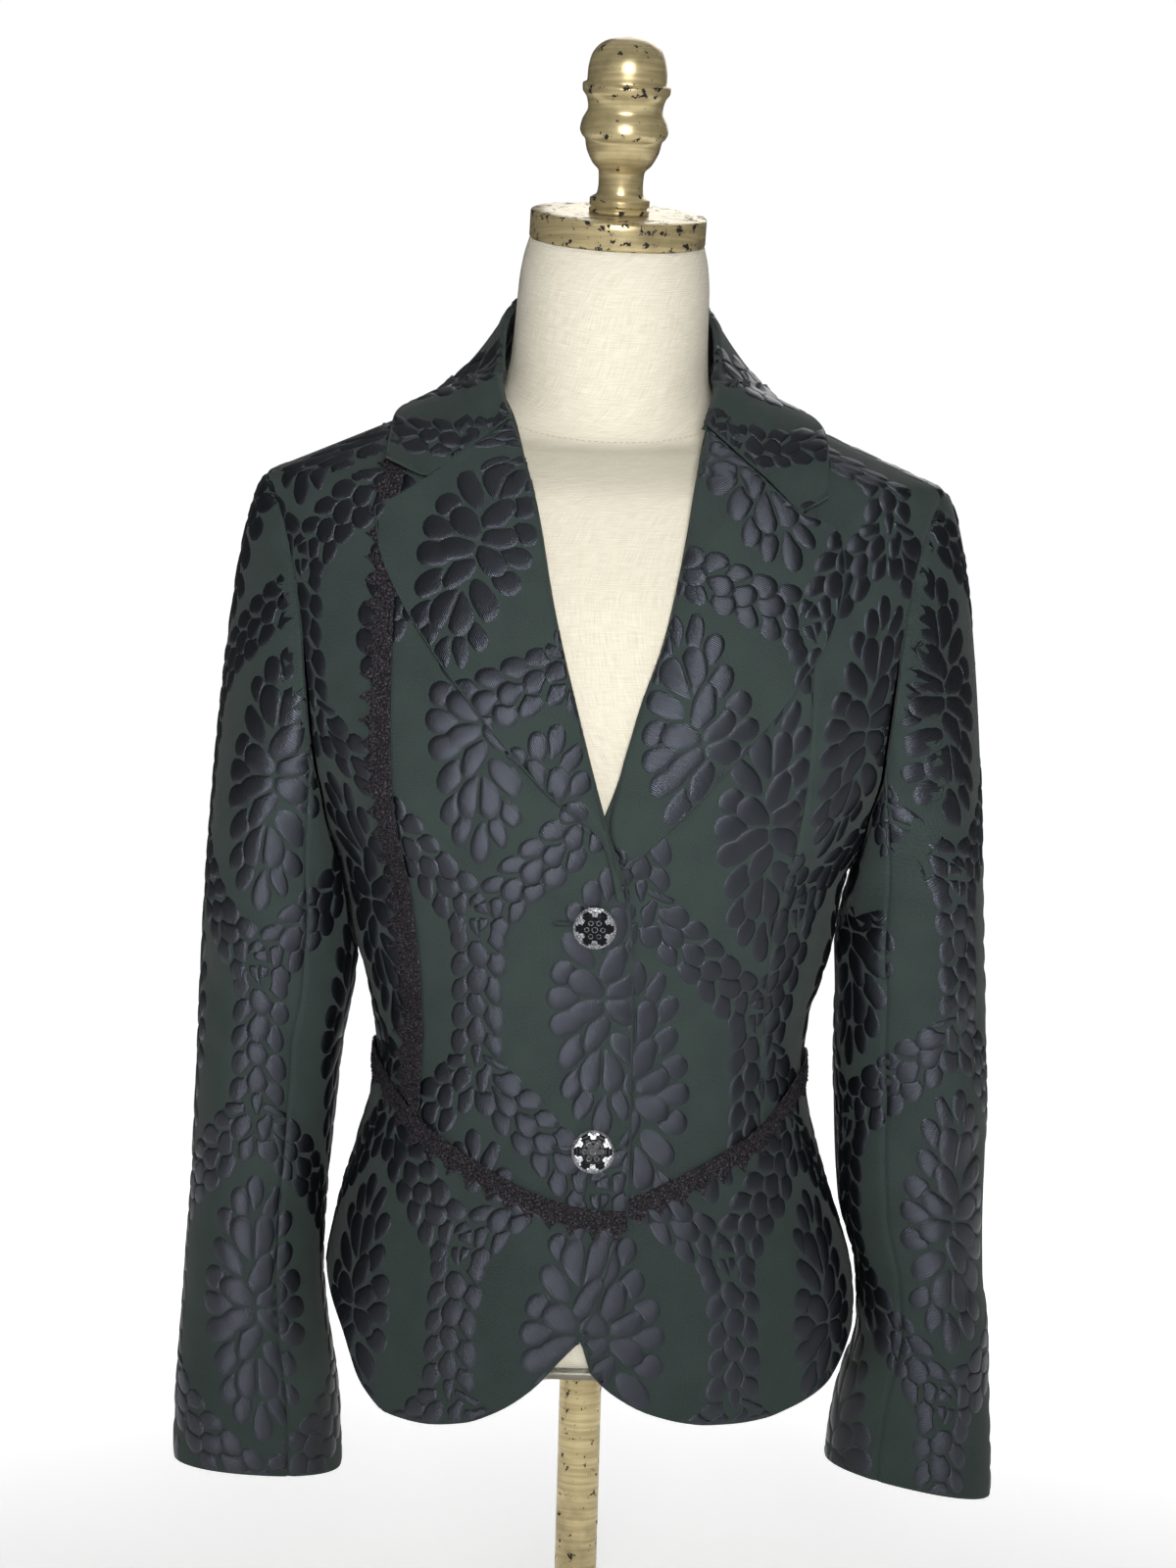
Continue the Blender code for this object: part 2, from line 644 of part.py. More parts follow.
def back_places(side):
    columns = FRONT_COLUMNS + SIDE_COLUMNS
    quarter = side * math.pi / 2
    top = (shoulder(side, NECK_POINT[0], princess_head()[0], FRONT_COLUMNS)
           + shoulder(side, princess_head()[0], SHOULDER_TIP[0], SIDE_COLUMNS)[1:])
    bottom = [(2 * quarter - quarter * step / columns, WAIST_SIDE) for step in range(columns + 1)]
    neck_height = NECK_POINT[1]
    rise = (neck_height - WAIST_SIDE) / (PANEL_ROWS - NECKLINE_ROWS)
    middle = [(2 * quarter, WAIST_SIDE + rise * step)
              for step in range(PANEL_ROWS - NECKLINE_ROWS + 1)]
    middle += [(2 * quarter - quarter * step / NECKLINE_ROWS, neck_height)
               for step in range(1, NECKLINE_ROWS + 1)]
    outer = side_seam(side) + armhole(side, back=True)[1:]
    # Seen from behind, +X is on the left, so the columns run the other way.
    return patch(*across(-side, (bottom, outer, top, middle)))


def peplum_front_places(side):
    columns = FRONT_COLUMNS + SIDE_COLUMNS
    foot_width = princess_foot()[0]
    start = PEPLUM_EDGES[side][0][1]
    top = (waist_front(side, start, foot_width, FRONT_COLUMNS)
           + waist_front(side, foot_width, body_ring(WAIST_SIDE)[0], SIDE_COLUMNS)[1:])
    top[-1] = (side * math.pi / 2, WAIST_SIDE)
    hem = [(angle_at(side * u, height), height) for height, u in PEPLUM_HEMS[side]]
    hem.append((side * math.pi / 2, HEM_SIDE[side]))
    inner = on_front(side, PEPLUM_EDGES[side][::-1], PEPLUM_ROWS)
    inner[-1] = top[0]
    rise = (WAIST_SIDE - HEM_SIDE[side]) / PEPLUM_ROWS
    outer = [(side * math.pi / 2, HEM_SIDE[side] + rise * step)
             for step in range(PEPLUM_ROWS + 1)]
    bottom = along(hem, columns)
    bottom[0] = inner[0]
    return patch(*across(side, (bottom, outer, top, inner)))


def peplum_back_places():
    columns = 2 * (FRONT_COLUMNS + SIDE_COLUMNS)
    turns = [math.pi / 2 + math.pi * step / columns for step in range(columns + 1)]
    grid = []
    for j in range(PEPLUM_ROWS + 1):
        v = j / PEPLUM_ROWS
        row = []
        for turn in turns:
            sideways = (1 - math.cos(2 * turn)) / 2       # 1 at the sides, 0 at the back
            side = 1 if turn < math.pi else -1
            hem = HEM_BACK + (HEM_SIDE[side] - HEM_BACK) * sideways
            row.append((turn, hem + (WAIST_SIDE - hem) * v))
        grid.append(row)
    return grid


# ---- lapels --------------------------------------------------------------------------------
LAPEL_OUTERS = {-1: LAPEL_OUTER_RIGHT, 1: LAPEL_OUTER_LEFT}
LAPEL_TOPS = {-1: LAPEL_TOP_RIGHT, 1: LAPEL_TOP_LEFT}


def roll_rows(side):
    """Fold line of a lapel from the break up to the gorge: height, half width."""
    gorge = GORGE_ROLL[side]
    if side < 0:
        start = (EDGES[side][4][0], EDGES[side][4][1] + 0.0006)
    else:
        start = LAPEL_BREAK_LEFT
    rows = [row for row in EDGES[side] if start[0] + 0.03 < row[0] < gorge[0] - 0.004]
    if side > 0:
        rows.insert(0, LAPEL_TURN_LEFT)
    return [start] + rows + [gorge]


def lapel_places(side):
    inner = on_front(side, roll_rows(side), LAPEL_ROWS)
    outer = on_front(side, LAPEL_OUTERS[side], LAPEL_ROWS)
    start, notch = GORGE_ROLL[side], LAPEL_TOPS[side][-1]
    tip = LAPEL_TOPS[side][::-1]
    gorge = along([(start[1], start[0]), (notch[1], notch[0])], LAPEL_COLUMNS // 2)
    notch_edge = along([(half, height) for height, half in tip], LAPEL_COLUMNS // 2)
    flat = gorge + notch_edge[1:]
    top = [(angle_at(side * half, height), height) for half, height in flat]
    bottom = along([inner[0], outer[0]], LAPEL_COLUMNS)
    return patch(*across(side, (bottom, outer, top, inner)))


def add_lapel(side):
    places = lapel_places(side)
    offset = under_offset(side) or (lambda angle, height: 0.0)
    columns = len(places[0]) - 1
    outer = []
    for j, row in enumerate(places):
        fade = min(1.0, j / 3)
        points = []
        for i, (angle, height) in enumerate(row):
            belly = math.sin(math.pi * i / columns) * fade
            lift = LAPEL_LIFT + LAPEL_BELLY * belly
            points.append(body_point(angle, height, offset(angle, height))
                          + body_normal(angle, height) * lift)
        outer.append(points)
    normals = [[body_normal(a, h) for a, h in row] for row in places]
    add_wall("lapel_" + SIDE_NAMES[side], pulled_in(outer, SEAM_PULL), normals, CLOTH)


# ---- collar ----------------------------------------------------------------------------------
def collar_half(side):
    """Rows from the fold to the edge, each from the front end to the centre back."""
    roll = along([(side * x, y, z) for x, y, z in COLLAR_ROLL], COLLAR_COLUMNS)
    edge = along([(side * x, y, z) for x, y, z in COLLAR_EDGE[side]], COLLAR_COLUMNS)
    notch_width, notch_height = COLLAR_NOTCH[side]
    notch = body_point(angle_at(side * notch_width, notch_height), notch_height, COLLAR_LIFT)
    end = along([roll[0], tuple(notch), edge[0]], COLLAR_ROWS, smooth=False)
    grid = []
    for j in range(COLLAR_ROWS + 1):
        v = j / COLLAR_ROWS
        row = []
        for i in range(COLLAR_COLUMNS + 1):
            straight = Vector(roll[i]).lerp(Vector(edge[i]), v)
            first = Vector(roll[0]).lerp(Vector(edge[0]), v)
            fade = max(0.0, 1 - i / 4) ** 2
            point = straight + (Vector(end[j]) - first) * fade
            share = i / COLLAR_COLUMNS
            hollow = COLLAR_HOLLOW * math.sin(math.pi * v) * math.sin(math.pi * min(share * 1.6, 1))
            point.z -= hollow
            if j > 0:
                point = raised(point, COLLAR_LIFT)
            row.append(point)
        grid.append(row)
    return grid


def add_collar():
    left = collar_half(1)
    right = collar_half(-1)
    # One sheet from the left front end round the back to the right one, fold at the top.
    rows = [left_row + right_row[-2::-1] for right_row, left_row in zip(right, left)]
    sheet = rows[::-1]
    add_wall("collar", pulled_in(sheet, SEAM_PULL), sheet_normals(sheet), CLOTH)


# ---- sleeves -----------------------------------------------------------------------------------
def sleeve_section(side, height):
    table = SLEEVE_SECTIONS[side][::-1]
    heights = column(table, 0)
    return [between(heights, column(table, k), height) for k in range(1, 5)]


def sleeve_ring_point(side, turn, height):
    """Point of the sleeve's tube; turn is 0 outside, 90 in front, 180 inside."""
    outer, inner, front, back = sleeve_section(side, height)
    middle = (outer + inner) / 2
    depth_middle = (front + back) / 2
    sine = math.sin(turn)
    cosine = math.cos(turn)
    x = middle + (outer - inner) / 2 * math.copysign(abs(cosine) ** SLEEVE_FULLNESS, cosine)
    y = depth_middle - (back - front) / 2 * math.copysign(abs(sine) ** SLEEVE_FULLNESS, sine)
    low = min(1.0, max(0.0, (0.24 - height) / 0.09))
    tilt = CUFF_TILT[side] * (x - middle) * low
    return Vector((side * x, y, height + tilt))


def sleeve_turns(side):
    """Armhole places with the turn that each takes round the sleeve, from the outside."""
    front = armhole(side)[::-1]
    back = armhole(side, back=True)
    loop = []
    for step, place in enumerate(front):
        loop.append((math.pi * step / ARMHOLE_ROWS, place))
    for step, place in enumerate(back[1:], start=1):
        loop.append((math.pi + math.pi * step / ARMHOLE_ROWS, place))
    return loop


def turned_back(turn):
    """0 where the sleeve leaves the seam outwards, 1 where it folds over the body."""
    inside = 180 - abs(180 - math.degrees(turn) % 360)
    share = min(max((inside - 50) / 50, 0.0), 1.0)
    return share * share * (3 - 2 * share)


def settled(turn):
    """The turn that a line from the armhole reaches below the cap: nearer the outside."""
    return turn - SLEEVE_SPREAD * math.sin(turn)


def sleeve_sheet(side):
    """Rows from the armhole down to the cuff, columns from the outside over the front."""
    loop = sleeve_turns(side)
    top = SLEEVE_SECTIONS[side][0][0]
    bottom = SLEEVE_SECTIONS[side][-1][0]
    sheet = []
    for j in range(SLEEVE_CAP_ROWS):
        t = j / SLEEVE_CAP_ROWS
        row = []
        for turn, place in loop:
            start = body_point(*place) + body_normal(*place) * SLEEVE_TURN_BACK * turned_back(turn)
            end = sleeve_ring_point(side, settled(turn), top)
            reach = (end - start).length * SLEEVE_LEAD
            outside = (1 + math.cos(turn)) / 2
            lead = Vector((side * (0.10 + 0.58 * outside), -0.50 * math.sin(turn),
                           -(0.50 + 0.45 * (1 - outside)))).normalized() * reach
            settle = Vector((side * 0.02, 0.0, -1.0)) * (end - start).length
            point = (start * (2 * t**3 - 3 * t**2 + 1) + lead * (t**3 - 2 * t**2 + t)
                     + end * (3 * t**2 - 2 * t**3) + settle * (t**3 - t**2))
            row.append(point)
        sheet.append(row)
    for j in range(SLEEVE_LOWER_ROWS + 1):
        height = top + (bottom - top) * j / SLEEVE_LOWER_ROWS
        sheet.append([sleeve_ring_point(side, settled(turn), height) for turn, _ in loop])
    for j, row in enumerate(sheet):
        for i, (turn, _) in enumerate(loop):
            point = row[i]
            radial = Vector((side * math.cos(turn), -math.sin(turn), 0.0))
            for fold_side, start, end, reach, depth in SLEEVE_FOLDS:
                if fold_side == side and j > 1:
                    arc = 0.045
                    place = (turn * arc, point.z)
                    ends = [(math.radians(a) * arc, height) for a, height in (start, end)]
                    point = point - radial * depth * ridge(place, ends[0], ends[1], reach)
            if j > 0 and point.z > HEM_SIDE[side] - 0.01:
                point = raised(point, SLEEVE_CLEARANCE * turned_back(turn))
            row[i] = point
    return sheet


def add_sleeves(side):
    name = SIDE_NAMES[side]
    loop = sleeve_turns(side)
    sheet = sleeve_sheet(side)
    closed = [row[:-1] for row in sheet]
    count = len(closed[0])
    normals = []
    for j in range(len(closed)):
        row = []
        for i in range(count):
            around = closed[j][(i + 1) % count] - closed[j][i - 1]
            down = closed[min(j + 1, len(closed) - 1)][i] - closed[max(j - 1, 0)][i]
            normal = (around.cross(down) * side).normalized()
            if j == 0:
                turn, place = loop[i]
                normal = body_normal(*place).lerp(normal, turned_back(turn)).normalized()
            row.append(normal)
        normals.append(row)
    front_seam = FRONT_SLEEVE_SEAM
    back_seam = count - FRONT_SLEEVE_SEAM
    upper = [k % count for k in range(back_seam, count + front_seam + 1)]
    under = list(range(front_seam, back_seam + 1))
    for part_name, picks in (("upper_sleeve_", upper), ("under_sleeve_", under)):
        outer = pulled_in([[row[k] for k in picks] for row in closed], SEAM_PULL)
        directions = [[row[k] for k in picks] for row in normals]
        add_wall(part_name + name, outer, directions, CLOTH)


# ---- lace --------------------------------------------------------------------------------------
def add_lace(name, line, offset=None):
    """A lace strip below or beside a line of (angle, height) places with its width
    direction: each entry is (place at the straight edge, place at the pointed edge)."""
    outer = []
    normals = []
    shift = offset or (lambda angle, height: 0.0)
    for share in (0.0, 1.0):
        row = []
        directions = []
        for (a0, h0), (a1, h1) in line:
            angle = a0 + (a1 - a0) * share
            height = h0 + (h1 - h0) * share
            normal = body_normal(angle, height)
            row.append(body_point(angle, height, shift(angle, height)) + normal * LACE_LIFT)
            directions.append(normal)
        outer.append(row)
        normals.append(directions)
    add_wall(name, pulled_in(outer, SEAM_PULL), normals, LACE_CLOTH, "lace")


def pointed_width(step):
    """Width of the lace at each half pitch: full at a point, less between two."""
    return LACE_WIDTH if step % 2 else LACE_WIDTH - LACE_POINT


def waist_lace_line(places, lift):
    return [((angle, height + lift), (angle, height + lift - pointed_width(step)))
            for step, (angle, height) in enumerate(places)]


def add_waist_laces():
    for side in (-1, 1):
        start = EDGES[-1][0][1] + 0.0006 if side < 0 else -EDGES[-1][0][1] + 0.0008
        end = body_ring(WAIST_SIDE)[0] - 0.0002
        steps = 2 * round((end - start) * 1.25 / LACE_PITCH)
        widths = [start + (end - start) * k / steps for k in range(steps + 1)]
        flat = along([(half, waist_height(half)) for half in widths]
                     + [(body_ring(WAIST_SIDE)[0], WAIST_SIDE)], steps)
        places = [(angle_at(side * half, height), height) for half, height in flat]
        places[-1] = (side * math.pi / 2, WAIST_SIDE)
        line = waist_lace_line(places, LACE_SEAM_OVERLAP)
        add_lace("lace_waist_" + SIDE_NAMES[side], line, under_offset(side))
    girth = math.pi * 0.105
    steps = 2 * round(girth / LACE_PITCH)
    places = [(math.pi / 2 + math.pi * step / steps, WAIST_SIDE) for step in range(steps + 1)]
    add_lace("lace_waist_back", waist_lace_line(places, LACE_SEAM_OVERLAP))


def add_front_lace():
    """Down the wearer's right princess seam, from under the collar to the waist lace."""
    foot = princess_foot()[1] + LACE_SEAM_OVERLAP + 0.0012
    head = 0.7520
    steps = 2 * round((head - foot) / LACE_PITCH)
    line = []
    for step in range(steps + 1):
        height = foot + (head - foot) * step / steps
        inner_width = princess_x(height) - 0.0030
        outer_width = inner_width + pointed_width(step)
        if step == 0:
            outer_width = inner_width + LACE_WIDTH - LACE_POINT
        drop = 0.0
        if height < foot + 0.012:
            drop = (waist_height(outer_width) - waist_height(inner_width)) * (
                1 - (height - foot) / 0.012)
        line.append(((angle_at(-inner_width, height), height),
                     (angle_at(-outer_width, height + drop), height + drop)))
    add_lace("lace_front", line[::-1])


# ---- buttons -----------------------------------------------------------------------------------
def add_button(name, x, height):
    """A six-lobed rosette on a shallow disc, flat behind."""
    angle = angle_at(x, height)
    normal = body_normal(angle, height)
    centre = body_point(angle, height) + normal * 0.0006
    up = (Vector((0, 0, 1)) - normal * normal.z).normalized()
    across_way = up.cross(normal).normalized()
    # Rings of the face: share of the radius, height, and how much the lobes raise it.
    rings = ((1.00, 0.0016, 0.0), (0.97, 0.0028, 0.0), (0.84, 0.0031, 0.0004),
             (0.66, 0.0033, 0.0007), (0.42, 0.0038, 0.0006), (0.20, 0.0044, 0.0))
    sides = BUTTON_LOBES * 5
    vertices = []
    for share, rise, lobe in rings:
        for k in range(sides):
            turn = 2 * math.pi * k / sides
            height_here = rise + lobe * math.cos(BUTTON_LOBES * turn)
            radius = BUTTON_RADIUS * share
            vertices.append(centre + across_way * radius * math.cos(turn)
                            + up * radius * math.sin(turn) + normal * height_here)
    back_start = len(vertices)
    for k in range(sides):
        turn = 2 * math.pi * k / sides
        radius = BUTTON_RADIUS * 0.92
        vertices.append(centre + across_way * radius * math.cos(turn)
                        + up * radius * math.sin(turn))
    faces = []
    for ring in range(len(rings) - 1):
        for k in range(sides):
            a = ring * sides + k
            b = ring * sides + (k + 1) % sides
            faces.append((a, b, b + sides, a + sides))
    last = (len(rings) - 1) * sides
    faces.append(tuple(last + k for k in range(sides)))
    for k in range(sides):
        a = k
        b = (k + 1) % sides
        faces.append((b, a, back_start + a, back_start + b))
    faces.append(tuple(back_start + k for k in reversed(range(sides))))
    add_object(name, vertices, faces, "button_gloss")


# ---- dress form --------------------------------------------------------------------------------
def add_rings(name, rings, finish_name, smooth_angle=50):
    """A closed solid through rings of points, capped at both ends."""
    count = len(rings[0])
    vertices = [point for ring in rings for point in ring]
    faces = []
    for j in range(len(rings) - 1):
        for i in range(count):
            a = j * count + i
            b = j * count + (i + 1) % count
            faces.append((a, b, b + count, a + count))
    faces.append(tuple(reversed(range(count))))
    last = (len(rings) - 1) * count
    faces.append(tuple(last + i for i in range(count)))
    return add_object(name, vertices, faces, finish_name, smooth_angle)


def neck_axis():
    return Vector((math.sin(NECK_LEAN), -math.sin(NECK_TILT), 1.0)).normalized()


def turned_ring(centre, axis, radius, sides):
    first = Vector((1, 0, 0))
    first = (first - axis * first.dot(axis)).normalized()
    second = axis.cross(first)
    return [centre + first * radius * math.cos(2 * math.pi * k / sides)
            + second * radius * math.sin(2 * math.pi * k / sides) for k in range(sides)]


FORM_SIDES = 24
# Where the form is narrower than the jacket, at the hips and beside the armholes:
# height, its greatest half width.
FORM_HIPS = (
    (0.2015, 0.1270), (0.2115, 0.1290), (0.2250, 0.1350), (0.2400, 0.1400), (0.2700, 0.1450),
)
FORM_SHOULDERS = (
    (0.505, 0.1340), (0.540, 0.1440), (0.580, 0.1510), (0.630, 0.1580), (0.680, 0.1660),
    (0.705, 0.1690), (0.722, 0.1690),
)


def form_ring(height, sides):
    """Ring of the form: inside the jacket, and closed off plainly at the armholes."""
    width, front, back = body_ring(height + FORM_DROP if height > 0.70 else height)
    width -= FORM_CLEARANCE
    front -= FORM_CLEARANCE
    back -= FORM_CLEARANCE
    limits = FORM_HIPS if height < FORM_HIPS[-1][0] else FORM_SHOULDERS
    if limits is FORM_HIPS or height > limits[0][0]:
        width = min(width, between(column(limits, 0), column(limits, 1), height))
    power = 2 / ROUNDNESS
    ring = []
    for k in range(sides):
        turn = 2 * math.pi * k / sides
        cosine = math.cos(turn)
        sine = math.sin(turn)
        depth = back if sine > 0 else front
        ring.append(Vector((width * math.copysign(abs(cosine) ** power, cosine),
                            depth * math.copysign(abs(sine) ** power, sine), height)))
    return ring


def form_floor(x):
    """Height of the form's underside, which arches up round the centre."""
    rise, flat, reach = FORM_ARCH
    share = min(max((abs(x) - flat) / (reach - flat), 0.0), 1.0)
    return FORM_BOTTOM + rise * (1 - share * share * (3 - 2 * share))


def add_form():
    rings = []
    for share, rounding in ((0.10, 0.0), (0.45, 0.0), (0.70, 0.0), (0.86, 0.0), (0.95, 0.23),
                            (1.00, 1.0)):
        ring = []
        for point in form_ring(FORM_BOTTOM + FORM_EDGE, FORM_SIDES):
            height = form_floor(point.x * share) + FORM_EDGE * rounding
            ring.append(Vector((point.x * share, point.y * share, height)))
        rings.append(ring)
    heights = (0.240, 0.265, 0.290, 0.320, 0.350, 0.380, 0.410, 0.445, 0.480, 0.510,
               0.540, 0.570, 0.600, 0.635, 0.670, 0.695, 0.710, 0.722, 0.733, 0.744,
               0.754, 0.762)
    for height in heights:
        rings.append(form_ring(height, FORM_SIDES))
    axis = neck_axis()
    under_cap = CAP_TOP - axis * (CAP_HEIGHT + 0.0003)
    # The neck: share of the way down from the cap, radius.
    neck = ((0.098, 0.0590), (0.085, 0.0575), (0.055, 0.0563), (0.030, 0.0555),
            (0.012, 0.0535), (0.000, 0.0505))
    for down, radius in neck:
        rings.append(turned_ring(under_cap - axis * down, axis, radius, FORM_SIDES))
    add_rings("form_torso", rings, "linen")


def add_cap_and_finial():
    axis = neck_axis()
    edge = 0.0012
    profile = ((CAP_RADIUS - edge, 0.0), (CAP_RADIUS, edge), (CAP_RADIUS, CAP_HEIGHT - edge),
               (CAP_RADIUS - edge, CAP_HEIGHT))
    base = CAP_TOP - axis * CAP_HEIGHT
    add_rings("neck_cap", [turned_ring(base + axis * rise, axis, radius, 32)
                           for radius, rise in profile], "antique_gold", 35)
    rings = [turned_ring(CAP_TOP + axis * rise, axis, radius, 18) for radius, rise in FINIAL]
    rings.append(turned_ring(CAP_TOP + axis * FINIAL_TOP, axis, 0.0030, 18))
    add_rings("finial", rings, "antique_gold", 60)


def add_stand():
    up = Vector((0, 0, 1))
    top = form_floor(0.0) - 0.0003
    pole = [turned_ring(Vector((0, 0, height)), up, POLE_RADIUS, 24)
            for height in (BASE_HEIGHT + 0.0003, top)]
    add_rings("stand_pole", pole, "antique_gold", 35)
    profile = ((BASE_RADIUS - 0.003, 0.0), (BASE_RADIUS, 0.003), (BASE_RADIUS, 0.010),
               (BASE_RADIUS - 0.006, 0.016), (BASE_RADIUS - 0.022, 0.0195),
               (0.030, BASE_HEIGHT))
    add_rings("stand_base", [turned_ring(Vector((0, 0, height)), up, radius, 48)
                             for radius, height in profile], "antique_gold", 35)


def main():
    for thing in list(bpy.data.objects):
        bpy.data.objects.remove(thing)
    for side in (-1, 1):
        name = SIDE_NAMES[side]
        add_panel("front_" + name, front_places(side), under_offset(side))
        add_panel("side_front_" + name, side_front_places(side))
        add_panel("back_" + name, back_places(side))
        add_panel("peplum_front_" + name, peplum_front_places(side), under_offset(side))
        add_lapel(side)
        add_sleeves(side)
    add_panel("peplum_back", peplum_back_places())
    add_collar()
    add_front_lace()
    add_waist_laces()
    for name, x, height in BUTTON_PLACES:
        add_button(name, x, height)
    add_form()
    add_cap_and_finial()
    add_stand()


main()
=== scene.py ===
"""Looks of the jacquard jacket on its dress form, built round the packed frame.

+Z is up, the front faces -Y and the wearer's left is +X.  Lengths are metres.  A side is
-1 for the wearer's right and 1 for the wearer's left.  A place on the body is (angle,
height): 0 at the centre front, +90 degrees at the wearer's left side, 180 at the centre
back.  A cloth piece is a Sheet: a grid of points whose rows run up and whose columns run
across, the outward direction at each, and its flat place, which is where it lay on the
uncut cloth: across and up the grain.
"""

import functools
import math
from collections import namedtuple

import bpy
import numpy as np
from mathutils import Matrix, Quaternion, Vector
from mathutils.kdtree import KDTree


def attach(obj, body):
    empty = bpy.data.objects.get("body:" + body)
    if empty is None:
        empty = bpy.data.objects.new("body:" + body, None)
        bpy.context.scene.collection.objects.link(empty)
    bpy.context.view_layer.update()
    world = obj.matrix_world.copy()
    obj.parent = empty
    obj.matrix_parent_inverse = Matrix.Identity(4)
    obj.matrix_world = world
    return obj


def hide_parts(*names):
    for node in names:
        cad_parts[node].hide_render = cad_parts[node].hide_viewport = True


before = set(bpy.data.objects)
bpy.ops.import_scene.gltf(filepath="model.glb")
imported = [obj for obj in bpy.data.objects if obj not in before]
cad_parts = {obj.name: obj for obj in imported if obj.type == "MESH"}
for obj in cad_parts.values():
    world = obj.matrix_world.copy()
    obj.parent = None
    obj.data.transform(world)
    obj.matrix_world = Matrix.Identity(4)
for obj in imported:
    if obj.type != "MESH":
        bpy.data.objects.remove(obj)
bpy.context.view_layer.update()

bl_info = {
    "name": "Jacquard jacket on a dress form",
    "version": (1, 0, 0),
    "blender": (4, 5, 0),
    "location": "View3D > Sidebar > Jacket",
    "description": "Builds the cloth, lace, buttons and form of a fitted jacquard jacket",
    "category": "Add Mesh",
}

Sheet = namedtuple("Sheet", "points normals flat")

# ---- the solids' measures, as in the part's source -------------------------------------
ROUNDNESS = 2.25          # exponent of the body's rings, 2 is an ellipse
WAIST_SIDE = 0.392        # height of the waist seam at the side seams
UNDERARM = 0.505
SHOULDER_TIP = (0.1975, 0.728)
NECK_POINT = (0.0660, 0.7843)
HEM_SIDE = {-1: 0.268, 1: 0.243}
HEM_BACK = 0.226
HIP_SWAY = (0.003, 0.260, 0.330)

BODY_RINGS = (
    (0.190, 0.1570, 0.1285, 0.1200), (0.225, 0.1570, 0.1280, 0.1190),
    (0.250, 0.1565, 0.1265, 0.1165), (0.270, 0.1545, 0.1245, 0.1130),
    (0.290, 0.1500, 0.1220, 0.1085), (0.310, 0.1445, 0.1195, 0.1035),
    (0.345, 0.1340, 0.1150, 0.0940), (0.370, 0.1280, 0.1115, 0.0875),
    (0.395, 0.1255, 0.1090, 0.0840), (0.420, 0.1290, 0.1105, 0.0850),
    (0.440, 0.1345, 0.1140, 0.0875), (0.465, 0.1415, 0.1190, 0.0910),
    (0.505, 0.1490, 0.1265, 0.0975), (0.530, 0.1620, 0.1295, 0.1010),
    (0.560, 0.1740, 0.1310, 0.1040), (0.600, 0.1850, 0.1300, 0.1065),
    (0.640, 0.1915, 0.1215, 0.1065), (0.680, 0.1960, 0.1060, 0.1030),
    (0.710, 0.1980, 0.0905, 0.0960), (0.728, 0.1985, 0.0800, 0.0930),
    (0.745, 0.1585, 0.0695, 0.0880), (0.765, 0.1112, 0.0590, 0.0810),
    (0.785, 0.0645, 0.0510, 0.0745), (0.800, 0.0600, 0.0490, 0.0700),
)
PRINCESS = (
    (0.345, 0.0985), (0.400, 0.0980), (0.440, 0.0990), (0.478, 0.1030), (0.500, 0.1070),
    (0.530, 0.1135), (0.560, 0.1175), (0.600, 0.1190), (0.660, 0.1190), (0.700, 0.1200),
    (0.728, 0.1165), (0.750, 0.1060), (0.7700, 0.0980),
)
ARMHOLE = (
    (0.505, 0.1490, 0.1490), (0.509, 0.1510, 0.1510), (0.525, 0.1555, 0.1565),
    (0.550, 0.1600, 0.1625), (0.580, 0.1635, 0.1680), (0.610, 0.1665, 0.1720),
    (0.645, 0.1715, 0.1770), (0.680, 0.1785, 0.1835), (0.710, 0.1880, 0.1905),
    (0.728, 0.1975, 0.1975),
)
WAIST_FRONT = (
    (-0.030, 0.3160), (0.000, 0.3175), (0.020, 0.3220), (0.041, 0.3300), (0.064, 0.3415),
    (0.081, 0.3505), (0.097, 0.3600), (0.111, 0.3745), (0.1265, 0.3920),
)
EDGES = {
    -1: ((0.3160, -0.0230), (0.360, -0.0235), (0.420, -0.0230), (0.470, -0.0215),
         (0.496, -0.0185), (0.538, -0.0050), (0.598, 0.0120), (0.657, 0.0273),
         (0.711, 0.0383), (0.740, 0.0470), (0.7620, 0.0535), (0.7843, 0.0660)),
    1: ((0.3160, -0.0180), (0.360, -0.0185), (0.420, -0.0185), (0.470, -0.0170),
        (0.500, -0.0100), (0.538, 0.0030), (0.561, 0.0115), (0.604, 0.0231),
        (0.642, 0.0357), (0.691, 0.0455), (0.735, 0.0520), (0.757, 0.0560),
        (0.7843, 0.0660)),
}
PEPLUM_EDGES = {
    -1: ((0.3160, -0.0230), (0.2946, -0.0145), (0.2709, -0.0080), (0.2474, 0.0023)),
    1: ((0.3160, -0.0180), (0.2946, -0.0110), (0.2709, -0.0055), (0.2480, -0.0010)),
}
PEPLUM_HEMS = {
    -1: ((0.2474, 0.0023), (0.2359, 0.0134), (0.2210, 0.0267), (0.2070, 0.0460),
         (0.1985, 0.0660), (0.1952, 0.0894), (0.1973, 0.1113), (0.2036, 0.1202),
         (0.2130, 0.1282), (0.2246, 0.1334), (0.2359, 0.1381), (0.2474, 0.1443),
         (0.2600, 0.1500)),
    1: ((0.2480, -0.0010), (0.2321, 0.0037), (0.2239, 0.0110), (0.2158, 0.0222),
        (0.2085, 0.0367), (0.2030, 0.0578), (0.2012, 0.0717), (0.2010, 0.0863),
        (0.2022, 0.1044), (0.2053, 0.1176), (0.2094, 0.1311), (0.2148, 0.1421),
        (0.2236, 0.1497), (0.2329, 0.1556)),
}
